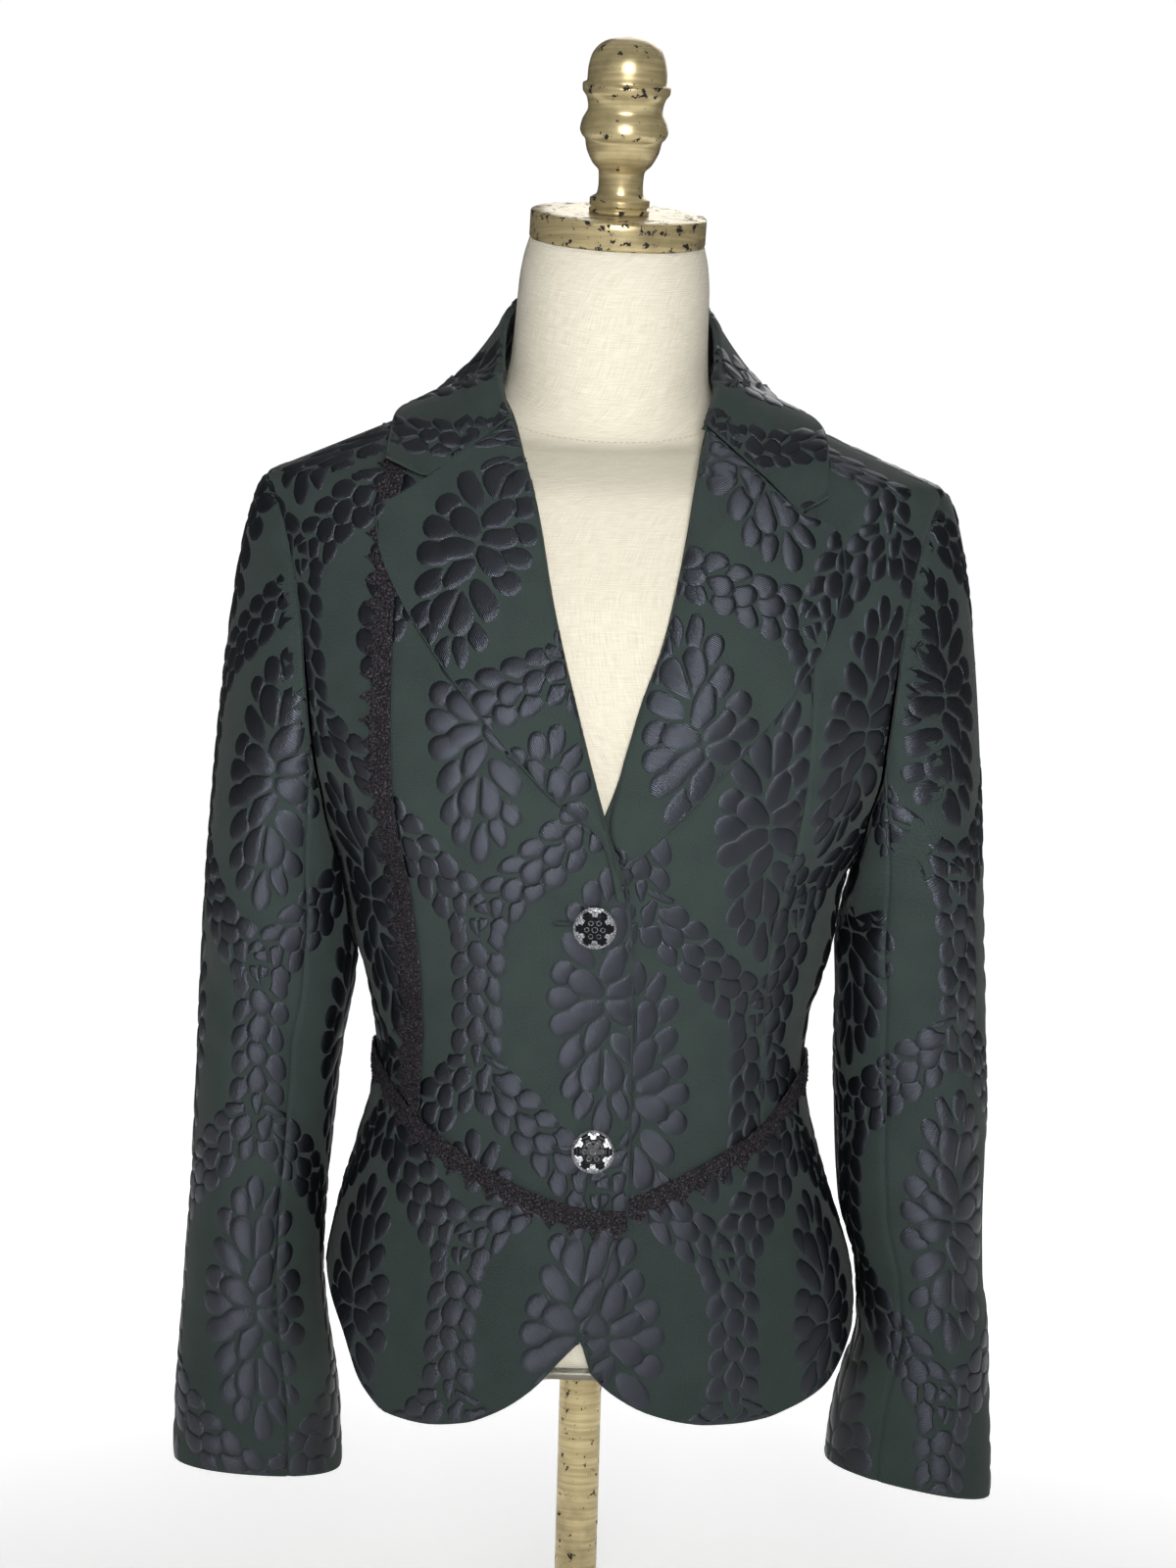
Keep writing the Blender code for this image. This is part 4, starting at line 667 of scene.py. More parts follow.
def fitted_outlines(petals, everywhere, gap):
    """Each petal's outline, side by side, as a share of its full drop shape: its head
    covers the tail of the next, and petals abreast share the room between them, with a
    thin line of ground left open."""
    turns = np.linspace(0, 2 * math.pi, 4 * PETAL_SIDES, endpoint=False)
    shares = []
    for x, y, heading, length, width in petals:
        along = length / 2 * np.cos(turns)
        aside = width / 2 * np.sin(turns) * (1 + DROP_SHAPE * np.cos(turns))
        radius = np.hypot(along, aside)
        way = heading + np.arctan2(aside, along)
        limit = radius.copy()
        for other in everywhere:
            distance = math.hypot(other[0] - x, other[1] - y)
            if not 1e-6 < distance < NEAR_PETAL:
                continue
            toward = math.atan2(other[1] - y, other[0] - x)
            facing = math.cos(toward - heading)
            if facing < BEHIND and -math.cos(toward - other[2]) > FACING:
                limit = np.minimum(limit, cut_by_head(way, toward, distance, other, gap))
            elif not (facing > AHEAD and math.cos(toward - other[2]) > FACING):
                own = ellipse_reach(length, width, toward - heading)
                theirs = ellipse_reach(other[3], other[4], toward - other[2])
                plane = distance * own / (own + theirs) - gap / 2
                cosine = np.cos(way - toward)
                limit = np.where(cosine > GRAZING, np.minimum(
                    limit, plane / np.maximum(cosine, GRAZING)), limit)
        share = np.maximum(limit / radius, LEAST_SHARE)
        share = (np.roll(share, 1) + 2 * share + np.roll(share, -1)) / 4
        shares.append(share[::4])
    return np.array(shares)


def petals_over(flat, origin):
    """All petals of the repeated figure that may touch the sheet, and their outlines."""
    sizes = bpy.context.scene.jacket_sizes
    petals, outlines = pattern_unit(sizes.repeat_width, sizes.repeat_height,
                                    sizes.figure_gap)
    low = flat.reshape(-1, 2).min(0) - origin - 0.02
    high = flat.reshape(-1, 2).max(0) - origin + 0.02
    half, rise = sizes.repeat_width / 2, sizes.repeat_height / 2
    found = np.concatenate([
        np.concatenate([petals + np.array((i * half, j * rise, 0, 0, 0)), outlines], 1)
        for j in range(math.floor(low[1] / rise) - 1, math.ceil(high[1] / rise) + 2)
        for i in range(math.floor(low[0] / half) - 2, math.ceil(high[0] / half) + 3)
        if (i + j) % 2 == 0])
    found = found[np.all((found[:, :2] > low) & (found[:, :2] < high), axis=1)]
    found[:, :2] += origin
    return found[:, :5], found[:, 5:]


def located(flat, at, start):
    """Grid rows and columns, as fractions, where the flat places lie."""
    here = start.astype(float)
    rows, columns = flat.shape[:2]
    for _ in range(7):
        j = np.clip(np.floor(here[..., 0]).astype(int), 0, rows - 2)
        i = np.clip(np.floor(here[..., 1]).astype(int), 0, columns - 2)
        v, u = here[..., 0] - j, here[..., 1] - i
        base = flat[j, i]
        across = flat[j, i + 1] - base
        up = flat[j + 1, i] - base
        miss = at - base - across * u[..., None] - up * v[..., None]
        area = across[..., 0] * up[..., 1] - across[..., 1] * up[..., 0]
        area = np.where(np.abs(area) < 1e-12, 1e-12, area)
        du = (miss[..., 0] * up[..., 1] - miss[..., 1] * up[..., 0]) / area
        dv = (across[..., 0] * miss[..., 1] - across[..., 1] * miss[..., 0]) / area
        here[..., 0] = np.clip(here[..., 0] + np.clip(dv, -8, 8), -12, rows + 11)
        here[..., 1] = np.clip(here[..., 1] + np.clip(du, -8, 8), -12, columns + 11)
    return here


PETAL_SIDES = 16
DROP_SHAPE = 0.24         # how much wider a petal is towards its head
# Rings of a petal from its edge in: share of its outline and of its full height.
PETAL_RINGS = ((1.00, -0.10), (0.92, 0.42), (0.60, 0.86))
PETAL_LEAN = 0.30         # how much higher its head stands
PETAL_SINK = 0.00012      # how far its edge goes into the ground
PETAL_REACH = 0.016       # farthest a petal's middle lies from cloth that it touches
EDGE_FADE = 0.0012        # petals lie flat over this width along a piece's edge
SLIVER = 6e-8             # area under which a face is left out
STRETCH = (1.5, 0.0008)   # an edge may be so many times its flat length, and this more


def petal_template():
    """Outline shares along and across a petal, height share, side and faces."""
    turns = np.linspace(0, 2 * math.pi, PETAL_SIDES, endpoint=False)
    along = [share * np.cos(turns) for share, _ in PETAL_RINGS]
    across = [share * np.sin(turns) * (1 + DROP_SHAPE * np.cos(turns))
              for share, _ in PETAL_RINGS]
    height = np.repeat([rise for _, rise in PETAL_RINGS], PETAL_SIDES)
    k = np.arange(PETAL_SIDES)
    beside = (k + 1) % PETAL_SIDES
    faces = []
    for a in range(0, (len(PETAL_RINGS) - 1) * PETAL_SIDES, PETAL_SIDES):
        faces.append(np.stack([k + a, beside + a, beside + a + PETAL_SIDES, k + a, beside + a
                               + PETAL_SIDES, k + a + PETAL_SIDES], -1).reshape(-1, 3))
    last = (len(PETAL_RINGS) - 1) * PETAL_SIDES
    faces.append(np.stack([k + last, beside + last, 0 * k + last + PETAL_SIDES], -1))
    return (np.append(np.concatenate(along), 0.0), np.append(np.concatenate(across), 0.0),
            np.append(height, 1.0), np.append(np.tile(k, len(PETAL_RINGS)), 0),
            np.concatenate(faces))


def kept_faces(faces, vertices, laid):
    """The faces that are no slivers and that no narrow place of the cloth stretches."""
    a, b, c = (vertices[faces[:, k]] for k in range(3))
    area = np.linalg.norm(np.cross(b - a, c - a), axis=1) / 2
    times, more = STRETCH
    over = np.max([np.linalg.norm(vertices[faces[:, k]] - vertices[faces[:, k - 1]], axis=1)
                   - times * np.linalg.norm(laid[faces[:, k]] - laid[faces[:, k - 1]], axis=1)
                   for k in range(3)], axis=0)
    return faces[(area > SLIVER) & (over < more)]


def figure(name, sheet, origin, tilt=0.0):
    """The raised petals of the woven figure on a sheet, cut off at its edges."""
    points, normals, flat = sheet
    turned = np.array(((math.cos(tilt), -math.sin(tilt)), (math.sin(tilt), math.cos(tilt))))
    flat = flat @ turned
    petals, outlines = petals_over(flat, np.asarray(origin) @ turned)
    along, across, height, sides, faces = petal_template()
    tree = KDTree(flat.shape[0] * flat.shape[1])
    for k, (x, y) in enumerate(flat.reshape(-1, 2).tolist()):
        tree.insert((x, y, 0.0), k)
    tree.balance()
    near = np.array([tree.find((x, y, 0.0))[2] < PETAL_REACH
                     for x, y in petals[:, :2].tolist()])
    petals, outlines = petals[near], outlines[near]
    turn = petals[:, 2:3]
    forward = along[None] * petals[:, 3:4] / 2 * outlines[:, sides]
    aside = across[None] * petals[:, 4:5] / 2 * outlines[:, sides]
    places = np.stack([petals[:, 0:1] + forward * np.cos(turn) - aside * np.sin(turn),
                       petals[:, 1:2] + forward * np.sin(turn) + aside * np.cos(turn)], -1)
    start = np.array([tree.find((x, y, 0.0))[1] for x, y in places.reshape(-1, 2).tolist()])
    start = np.stack([start // flat.shape[1], start % flat.shape[1]], -1)
    here = located(flat, places, start.reshape(places.shape))
    within = np.clip(here, 0.0, np.array(flat.shape[:2]) - 1.0)
    direction = unit(sampled(normals, within))
    margin = np.minimum.reduce([*edge_distances(points).values()])
    gap = sampled(margin[..., None], within)[..., 0]
    leaning = 1 + PETAL_LEAN * along[None]
    lift = (bpy.context.scene.jacket_sizes.figure_height
            * np.where(height > 0, height * leaning, height))
    lift = lift * eased(gap / EDGE_FADE) - PETAL_SINK
    vertices = (sampled(points, within) + direction * lift[..., None]).reshape(-1, 3)
    laid = places.reshape(-1, 2)
    every = faces[None] + places.shape[1] * np.arange(len(petals))[:, None, None]
    every = kept_faces(every.reshape(-1, 3), vertices, laid)
    if turned_inward(vertices, every, direction.reshape(-1, 3)):
        every = every[:, ::-1]
    used, every = np.unique(every, return_inverse=True)
    piece = make(name, vertices[used], every.reshape(-1, 3), [finish("figure_satin")],
                 laid[used])
    return fitted(piece, "jacquard")


def cloth_piece(name, sheet, free, origin, tilt=0.0):
    """One cut piece of the jacket with its figure."""
    piece = fitted(wall("cloth_" + name, sheet, bpy.context.scene.jacket_sizes.thickness,
                        [finish("ground_cloth"), finish("lining_satin")], free),
                   "jacquard", name)
    parts = [figure("figure_" + name, sheet, origin, tilt)]


# ---- finishes --------------------------------------------------------------------------
def linear(text):
    """An sRGB hex colour as linear red, green and blue."""
    parts = [int(text[k:k + 2], 16) / 255 for k in (1, 3, 5)]
    return tuple(p / 12.92 if p <= 0.04045 else ((p + 0.055) / 1.055) ** 2.4 for p in parts)


def rgba(text):
    return (*linear(text), 1.0)


def tone(name):
    """One of the colours that the panel offers."""
    return (*getattr(bpy.context.scene.jacket_colours, name), 1.0)


def feed(tree, node, inputs):
    """Gives each input of a node its value, or a link from the output that feeds it."""
    for key, value in inputs.items():
        if isinstance(value, bpy.types.NodeSocket):
            tree.links.new(value, node.inputs[key])
        else:
            node.inputs[key].default_value = value


def add(tree, kind, inputs=None, out=0, **settings):
    """Adds a node with its settings and links, and hands back one of its outputs."""
    node = tree.nodes.new(kind if "Node" in kind else "ShaderNode" + kind)
    for key, value in settings.items():
        setattr(node, key, value)
    feed(tree, node, inputs or {})
    return node.outputs[out] if len(node.outputs) else node


def laid_over(tree, under, over, value, low=0.0, high=1.0):
    """A colour laid over another where a value rises from low to high."""
    share = add(tree, "MapRange", {"Value": value, 1: low, 2: high})
    return add(tree, "Mix", {0: share, 6: under, 7: over}, 2, data_type="RGBA")


def plain_weave(tree, places, pitch):
    """Height of a plain weave whose threads cross at the pitch, 0 to 1."""
    both = [add(tree, "TexWave", {"Vector": places, "Scale": math.pi / 10 / pitch,
                                  "Distortion": 0.6, "Detail": 1.0, "Detail Scale": 2.0},
                "Fac", bands_direction=way) for way in ("X", "Y")]
    return add(tree, "Math", {0: both[0], 1: both[1]}, operation="MULTIPLY")


# Each maker takes a material's tree and the places its patterns lie in, and gives what
# the shader's inputs are fed.
def ground_cloth(tree, places):
    """Wool-mix plain weave of the ground: matt, with a fine cross-hatched tooth."""
    cloud = add(tree, "TexNoise", {"Vector": places, "Scale": 38.0, "Detail": 4.0})
    thread = add(tree, "TexNoise", {"Vector": places, "Scale": 1500.0, "Detail": 2.0})
    weave = plain_weave(tree, places, 0.0009)      # 0.5 mm threads, drawn at 0.9 mm to show
    shade = laid_over(tree, tone("ground_dark"), tone("ground_light"), cloud, 0.3, 0.7)
    relief = add(tree, "Math", {0: weave, 1: thread})
    return {"Base Color": laid_over(tree, shade, rgba("#3c4744"), thread, 0.35, 0.75),
            "Roughness": 0.86, "Specular IOR Level": 0.22, "Sheen Weight": 0.06,
            "Normal": add(tree, "Bump", {"Height": relief, "Distance": 0.00012,
                                         "Strength": 0.8})}


def figure_satin(tree, places):
    """Padded satin weave of the petals: black threads whose lustre is slate where they
    face the eye and dies away where the cloth turns aside, with fine slanting ribs."""
    # 0.8 mm twill lines, drawn at 1.05 mm so that they show.
    twill = add(tree, "TexWave", {"Vector": places, "Scale": 423.0, "Distortion": 2.2,
                                  "Detail": 2.5, "Detail Scale": 1.2},
                "Fac", bands_direction="DIAGONAL")
    speck = add(tree, "TexNoise", {"Vector": places, "Scale": 1400.0, "Detail": 2.0})
    shade = laid_over(tree, tone("petal_dark"), tone("petal_light"), twill)
    relief = add(tree, "Math", {0: twill, 1: speck})
    # The floats run across the cloth, so the lustre spreads up and down.
    return {"Base Color": laid_over(tree, shade, rgba("#16191c"), speck, 0.5, 0.8),
            "Roughness": add(tree, "MapRange", {"Value": twill, 3: 0.46, 4: 0.38}),
            "Specular IOR Level": 0.95, "Specular Tint": rgba("#d8e0f2"),
            "Anisotropic": 0.6, "Anisotropic Rotation": 0.25,
            "Tangent": add(tree, "Tangent", direction_type="UV_MAP", uv_map="cloth"),
            "Normal": add(tree, "Bump", {"Height": relief, "Distance": 0.00018,
                                         "Strength": 0.8})}


def lining_satin(tree, places):
    """Charcoal acetate lining: smooth and softly glossy."""
    grain = add(tree, "TexNoise", {"Vector": places, "Scale": 900.0, "Detail": 2.0})
    return {"Base Color": laid_over(tree, rgba("#151917"), rgba("#222826"), grain),
            "Roughness": 0.55,
            "Normal": add(tree, "Bump", {"Height": grain, "Distance": 0.00008,
                                         "Strength": 1.0})}


def lace_thread(tree, places):
    """Mercerised cotton lace: black-brown, with bobbly loops, painted highlights on its raised
    knots, painted shade between them and light specks that are painted glints.
    """
    knots = add(tree, "TexVoronoi", {"Vector": places, "Scale": 620.0})
    speck = add(tree, "TexNoise", {"Vector": places, "Scale": 900.0, "Detail": 3.0})
    # Painted highlight and shade: lighter on each knot's raised middle, darker in the hollows
    # between the knots.
    shade = laid_over(tree, tone("lace_knot_highlight"), tone("lace_dark"), knots, 0.2, 0.6)
    # Painted glints: light specks where the thread would catch the light.
    return {"Base Color": laid_over(tree, shade, rgba("#59535c"), speck, 0.52, 0.70),
            "Roughness": 0.75, "Specular IOR Level": 0.3,
            "Normal": add(tree, "Bump", {"Height": knots, "Distance": -0.0006,
                                         "Strength": 0.9})}


def black_resin(tree, places):
    """Cast black resin of the buttons: polished, with small moulding ripples."""
    ripple = add(tree, "TexNoise", {"Vector": places, "Scale": 260.0})
    return {"Base Color": laid_over(tree, rgba("#08080a"), rgba("#121316"), ripple),
            "Roughness": 0.30, "Specular IOR Level": 0.12,
            "Normal": add(tree, "Bump", {"Height": ripple, "Distance": 0.00025,
                                         "Strength": 0.5})}


def worn_silver(tree, places):
    """Plated metal on the buttons: silver-grey, specked dark in its hollows."""
    speck = add(tree, "TexNoise", {"Vector": places, "Scale": 1600.0, "Detail": 3.0})
    return {"Base Color": laid_over(tree, rgba("#56575a"), rgba("#d2d3d8"), speck, 0.42, 0.6),
            "Metallic": 0.9, "Roughness": 0.34,
            "Normal": add(tree, "Bump", {"Height": speck, "Distance": 0.0002,
                                         "Strength": 0.6})}


def cream_linen(tree, places):
    """Linen cover of the form: cream plain weave with thicker slub threads both ways."""
    slubs = []
    for stretch in ((90.0, 1500.0, 1.0), (1500.0, 90.0, 1.0)):
        drawn_out = add(tree, "Mapping", {"Vector": places, "Scale": stretch})
        slubs.append(add(tree, "TexNoise", {"Vector": drawn_out, "Scale": 1.0,
                                            "Detail": 3.0}))
    weave = plain_weave(tree, places, 0.0011)      # 0.6 mm threads, drawn at 1.1 mm
    both = add(tree, "Math", {0: slubs[0], 1: slubs[1]})
    shade = laid_over(tree, tone("linen_dark"), tone("linen_light"), both, 0.75, 1.3)
    faint = add(tree, "Math", {0: weave, 1: 0.35}, operation="MULTIPLY")
    relief = add(tree, "Math", {0: both, 1: weave})
    return {"Base Color": laid_over(tree, shade, rgba("#f9f4e4"), faint),
            "Roughness": 0.88, "Specular IOR Level": 0.25,
            "Normal": add(tree, "Bump", {"Height": relief, "Distance": 0.00022,
                                         "Strength": 0.8})}


def linen_thread(tree, places):
    """Waxed cotton sewing thread, a shade darker than the linen."""
    ply = add(tree, "TexWave", {"Vector": places, "Scale": 900.0}, "Fac")
    return {"Base Color": laid_over(tree, rgba("#b8ab93"), rgba("#d8ccb6"), ply),
            "Roughness": 0.7}


def buttonhole_twist(tree, places):
    """Silk twist of the buttonholes: near black with a low lustre."""
    ply = add(tree, "TexWave", {"Vector": places, "Scale": 700.0}, "Fac")
    return {"Base Color": laid_over(tree, rgba("#101415"), rgba("#3b4446"), ply),
            "Roughness": 0.6}


def gold_leaf_paint(tree, places):
    """Gold leaf paint brushed on turned wood: a satin metal, dull in its hollows and
    chipped black along its edges."""
    brushed = add(tree, "Mapping", {"Vector": places, "Scale": (30.0, 30.0, 520.0)})
    streaks = add(tree, "TexNoise", {"Vector": brushed, "Scale": 1.0, "Detail": 5.0})
    cloud = add(tree, "TexNoise", {"Vector": places, "Scale": 55.0, "Detail": 4.0})
    chips = add(tree, "TexNoise", {"Vector": places, "Scale": 170.0, "Detail": 5.0,
                                   "Roughness": 0.65})
    worn = add(tree, "Attribute", out="Fac", attribute_name="wear")
    amount = add(tree, "Math", {0: worn, 1: 0.105, 2: chips}, operation="MULTIPLY_ADD")
    chipped = add(tree, "MapRange", {"Value": amount, 1: 0.665, 2: 0.68})
    gold = laid_over(tree, tone("gold_dark"), tone("gold_light"), streaks, 0.3, 0.7)
    gold = laid_over(tree, gold, rgba("#9c8e69"), cloud, 0.5, 0.8)
    faint = add(tree, "Math", {0: streaks, 1: 0.25}, operation="MULTIPLY")
    relief = add(tree, "Math", {0: faint, 1: chipped}, operation="SUBTRACT")
    return {"Base Color": laid_over(tree, gold, rgba("#191410"), chipped),
            "Metallic": add(tree, "MapRange", {"Value": chipped, 3: 0.50, 4: 0.0}),
            "Roughness": add(tree, "MapRange", {"Value": chipped, 3: 0.33, 4: 0.75}),
            "Normal": add(tree, "Bump", {"Height": relief, "Distance": 0.00025,
                                         "Strength": 0.7})}


def paper_with_painted_glow(tree, places):
    """Matt white paper under the object with a painted glow: it gives off light of its own,
    a little more towards its rim, so that it fades into the surround."""
    tooth = add(tree, "TexNoise", {"Vector": places, "Scale": 40.0})
    out = add(tree, "VectorMath", {0: places}, "Value", operation="LENGTH")
    return {"Base Color": laid_over(tree, rgba("#f7f7f7"), rgba("#fcfcfc"), tooth),
            # Painted glow: the paper emits light, from half strength near the middle to nearly
            # full at the rim.
            "Roughness": 0.95, "Emission Color": rgba("#ffffff"),
            "Emission Strength": add(tree, "MapRange", {"Value": out, 1: 0.2, 2: 1.2,
                                                        3: 0.50, 4: 0.92},
                                     interpolation_type="SMOOTHSTEP")}


# Patterns lie in the flat cloth on these, and in the object's own space on the others.
WOVEN = (ground_cloth, figure_satin, lining_satin, cream_linen)
FINISHES = {maker.__name__: maker for maker in WOVEN + (
    lace_thread, black_resin, worn_silver, linen_thread, buttonhole_twist, gold_leaf_paint,
    paper_with_painted_glow)}


def finish(name):
    """The named material, made the first time it is asked for."""
    material = bpy.data.materials.get(name)
    if material is None:
        material = bpy.data.materials.new(name)
        material.use_nodes = True
        tree = material.node_tree
        places = (add(tree, "UVMap", uv_map="cloth") if FINISHES[name] in WOVEN
                  else add(tree, "TexCoord", out="Object"))
        feed(tree, tree.nodes["Principled BSDF"], FINISHES[name](tree, places))
    return material


# ---- geometry nodes --------------------------------------------------------------------
MOST_LOOPS = 600000.0     # loops on a square metre, before their spacing thins them out
TILTS = ((-0.5, -0.5, -3.1), (0.5, 0.5, 3.1))
SIZES = ((0.75, 0.55, 0.8), (1.15, 0.95, 1.2))


def scattered_loops(tree, given):
    """Small thread loops strewn over a surface."""
    spots = add(tree, "GeometryNodeDistributePointsOnFaces",
                {"Mesh": given["Geometry"], "Distance Min": given["Spacing"],
                 "Density Max": MOST_LOOPS, "Seed": 4},
                distribute_method="POISSON").node.outputs
    ring, thread = (add(tree, "GeometryNodeCurvePrimitiveCircle",
                        {"Resolution": corners, "Radius": given[radius]})
                    for corners, radius in ((7, "Loop Radius"), (3, "Thread Radius")))
    loop = add(tree, "GeometryNodeCurveToMesh", {"Curve": ring, "Profile Curve": thread})
    smooth = add(tree, "GeometryNodeSetShadeSmooth", {0: loop})
    tilt, size = (add(tree, "FunctionNodeRandomValue", {0: low, 1: high, "Seed": seed},
                      data_type="FLOAT_VECTOR")
                  for low, high, seed in ((*TILTS, 5), (*SIZES, 6)))
    about = add(tree, "FunctionNodeRotateRotation", {0: spots["Rotation"], 1: tilt},
                rotation_space="LOCAL")
    return add(tree, "GeometryNodeInstanceOnPoints",
               {"Points": spots["Points"], "Instance": smooth, "Rotation": about,
                "Scale": size})


def beads_on_path(tree, given):
    """Small rounded grains, stitches or beads, at a spacing along a path of edges."""
    path = add(tree, "GeometryNodeMeshToCurve", {0: given["Geometry"]})
    even = add(tree, "GeometryNodeResampleCurve", {"Curve": path, "Length": given["Spacing"]},
               mode="LENGTH")
    grain = add(tree, "GeometryNodeMeshIcoSphere", {"Radius": 1.0,
                                                    "Subdivisions": given["Detail"]})
    smooth = add(tree, "GeometryNodeSetShadeSmooth", {0: grain})
    tangent = add(tree, "GeometryNodeInputTangent")
    lined = add(tree, "FunctionNodeAlignRotationToVector", {"Vector": tangent}, axis="X")
    return add(tree, "GeometryNodeInstanceOnPoints",
               {"Points": even, "Instance": smooth, "Rotation": lined,
                "Scale": given["Size"]})


TREES = {
    "Scattered loops": (scattered_loops, (("Loop Radius", "Float"), ("Thread Radius", "Float"),
                                          ("Spacing", "Float"))),
    "Beads on a path": (beads_on_path, (("Spacing", "Float"), ("Size", "Vector"),
                                        ("Detail", "Int"))),
}


def geometry_tree(label):
    """The named tree with its inputs, ended in Realize Instances and Set Material."""
    tree = bpy.data.node_groups.get(label)
    if tree is None:
        maker, sockets = TREES[label]
        tree = bpy.data.node_groups.new(label, "GeometryNodeTree")
        tree.interface.new_socket("Geometry", in_out="OUTPUT",
                                  socket_type="NodeSocketGeometry")
        for name, kind in (("Geometry", "Geometry"), *sockets, ("Finish", "Material")):
            tree.interface.new_socket(name, in_out="INPUT", socket_type="NodeSocket" + kind)
        given = add(tree, "NodeGroupInput").node.outputs
        real = add(tree, "GeometryNodeRealizeInstances", {0: maker(tree, given)})
        add(tree, "NodeGroupOutput", {0: add(tree, "GeometryNodeSetMaterial", {
            "Geometry": real, "Material": given["Finish"]})})
    return tree


def grown(name, vertices, edges, faces, label, values):
    """A new object with the plain mesh that a geometry tree makes on a host mesh."""
    tree = geometry_tree(label)
    mesh = bpy.data.meshes.new(name + "_host")
    mesh.from_pydata([tuple(v) for v in vertices], edges, faces)
    host = bpy.data.objects.new(name, mesh)
    bpy.context.scene.collection.objects.link(host)
    modifier = host.modifiers.new(label, "NODES")
    modifier.node_group = tree
    for item in tree.interface.items_tree:
        if item.in_out == "INPUT" and item.name in values:
            modifier[item.identifier] = values[item.name]
    depsgraph = bpy.context.evaluated_depsgraph_get()
    plain = bpy.data.meshes.new_from_object(host.evaluated_get(depsgraph),
                                            preserve_all_data_layers=True,
                                            depsgraph=depsgraph)
    host.modifiers.remove(modifier)
    host.data = plain
    plain.name = name
    bpy.data.meshes.remove(mesh)
    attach(host, "root")
    return host


def beads(name, paths, spacing, size, finish_name, detail=1):
    """Beads or stitches along paths of points; a closed path repeats its first point."""
    vertices, edges = [], []
    for path in paths:
        start = len(vertices)
        closed = np.linalg.norm(np.asarray(path[0]) - np.asarray(path[-1])) < 1e-9
        points = path[:-1] if closed else path
        vertices += [tuple(p) for p in points]
        edges += [(start + k, start + k + 1) for k in range(len(points) - 1)]
        if closed:
            edges.append((start + len(points) - 1, start))
    return grown(name, vertices, edges, [], "Beads on a path",
                 {"Spacing": spacing, "Size": size, "Detail": detail,
                  "Finish": finish(finish_name)})


# ---- seams, as places on one side of the body ------------------------------------------
FINE = 5                  # grid cells for each of the solids' cells
FRONT_COLUMNS = 7 * FINE
SIDE_COLUMNS = 4 * FINE
PEPLUM_ROWS = 7 * FINE
SIDE_SEAM_ROWS = 6 * FINE
ARMHOLE_ROWS = 10 * FINE
PANEL_ROWS = SIDE_SEAM_ROWS + ARMHOLE_ROWS
NECKLINE_ROWS = 4 * FINE


def on_front(side, rows, steps, smooth=True):
    flat = spaced([(half, height) for height, half in rows], steps, smooth)
    return np.stack([angle_at(side * flat[:, 0], flat[:, 1]), flat[:, 1]], -1)


def waist_height(x):
    return looked_up(WAIST_FRONT, x)


def waist_front(side, start, end, steps):
    half = np.linspace(start, end, steps + 1)
    height = waist_height(half)
    return np.stack([angle_at(side * half, height), height], -1)


def princess_x(height):
    return looked_up(PRINCESS, height)


def princess_foot():
    half = PRINCESS[0][1]
    for _ in range(5):
        half = float(princess_x(waist_height(half)))
    return half, float(waist_height(half))


def shoulder_height(half):
    (tip_width, tip_height), (neck_width, neck_height) = SHOULDER_TIP, NECK_POINT
    return tip_height + (tip_width - half) * (neck_height - tip_height) / (
        tip_width - neck_width)


def princess_head():
    height = SHOULDER_TIP[1]
    for _ in range(40):
        height = float(shoulder_height(princess_x(height)))
    return float(princess_x(height)), height


def shoulder(side, start, end, steps):
    half = np.linspace(start, end, steps + 1)
    return np.stack([np.full(len(half), side * math.pi / 2), shoulder_height(half)], -1)


def princess(side):
    foot_width, foot_height = princess_foot()
    head_width, head_height = princess_head()
    rows = [(foot_height, foot_width)]
    rows += [row for row in PRINCESS if foot_height + 0.01 < row[0] < head_height - 0.01]
    places = on_front(side, rows + [(head_height, head_width)], PANEL_ROWS)
    places[-1] = (side * math.pi / 2, head_height)
    return places


def armhole(side, back=False, steps=ARMHOLE_ROWS):
    flat = spaced([(row[2 if back else 1], row[0]) for row in ARMHOLE], steps)
    places = np.stack([angle_at(side * flat[:, 0], flat[:, 1], back), flat[:, 1]], -1)
    places[0] = (side * math.pi / 2, UNDERARM)
    places[-1] = (side * math.pi / 2, SHOULDER_TIP[1])
    return places


def side_seam(side):
    heights = np.linspace(WAIST_SIDE, UNDERARM, SIDE_SEAM_ROWS + 1)
    return np.stack([np.full(len(heights), side * math.pi / 2), heights], -1)


def under_offset(side, angle, height):
    """The wearer's left front passes under the right one round the centre."""
    if side < 0:
        return 0.0
    return -0.0027 * eased((0.062 - body_points(angle, height)[..., 0]) / 0.032)


def across(side, bottom, outer, top, inner):
    """A patch whose columns run towards +X whichever side it is on."""
    if side > 0:
        return patch(bottom, outer, top, inner)
    return patch(bottom[::-1], inner, top[::-1], outer)


def front_places(side):
    start = EDGES[side][0][1]
    bottom = waist_front(side, start, princess_foot()[0], FRONT_COLUMNS)
    top = shoulder(side, NECK_POINT[0], princess_head()[0], FRONT_COLUMNS)
    inner = on_front(side, ((bottom[0][1], start),) + EDGES[side][1:], PANEL_ROWS)
    inner[0], inner[-1] = bottom[0], top[0]
    return across(side, bottom, princess(side), top, inner)


def side_front_places(side):
    bottom = waist_front(side, princess_foot()[0], float(body_ring(WAIST_SIDE)[0]),
                         SIDE_COLUMNS)
    bottom[-1] = (side * math.pi / 2, WAIST_SIDE)
    top = shoulder(side, princess_head()[0], SHOULDER_TIP[0], SIDE_COLUMNS)
    outer = np.concatenate([side_seam(side), armhole(side)[1:]])
    return across(side, bottom, outer, top, princess(side))


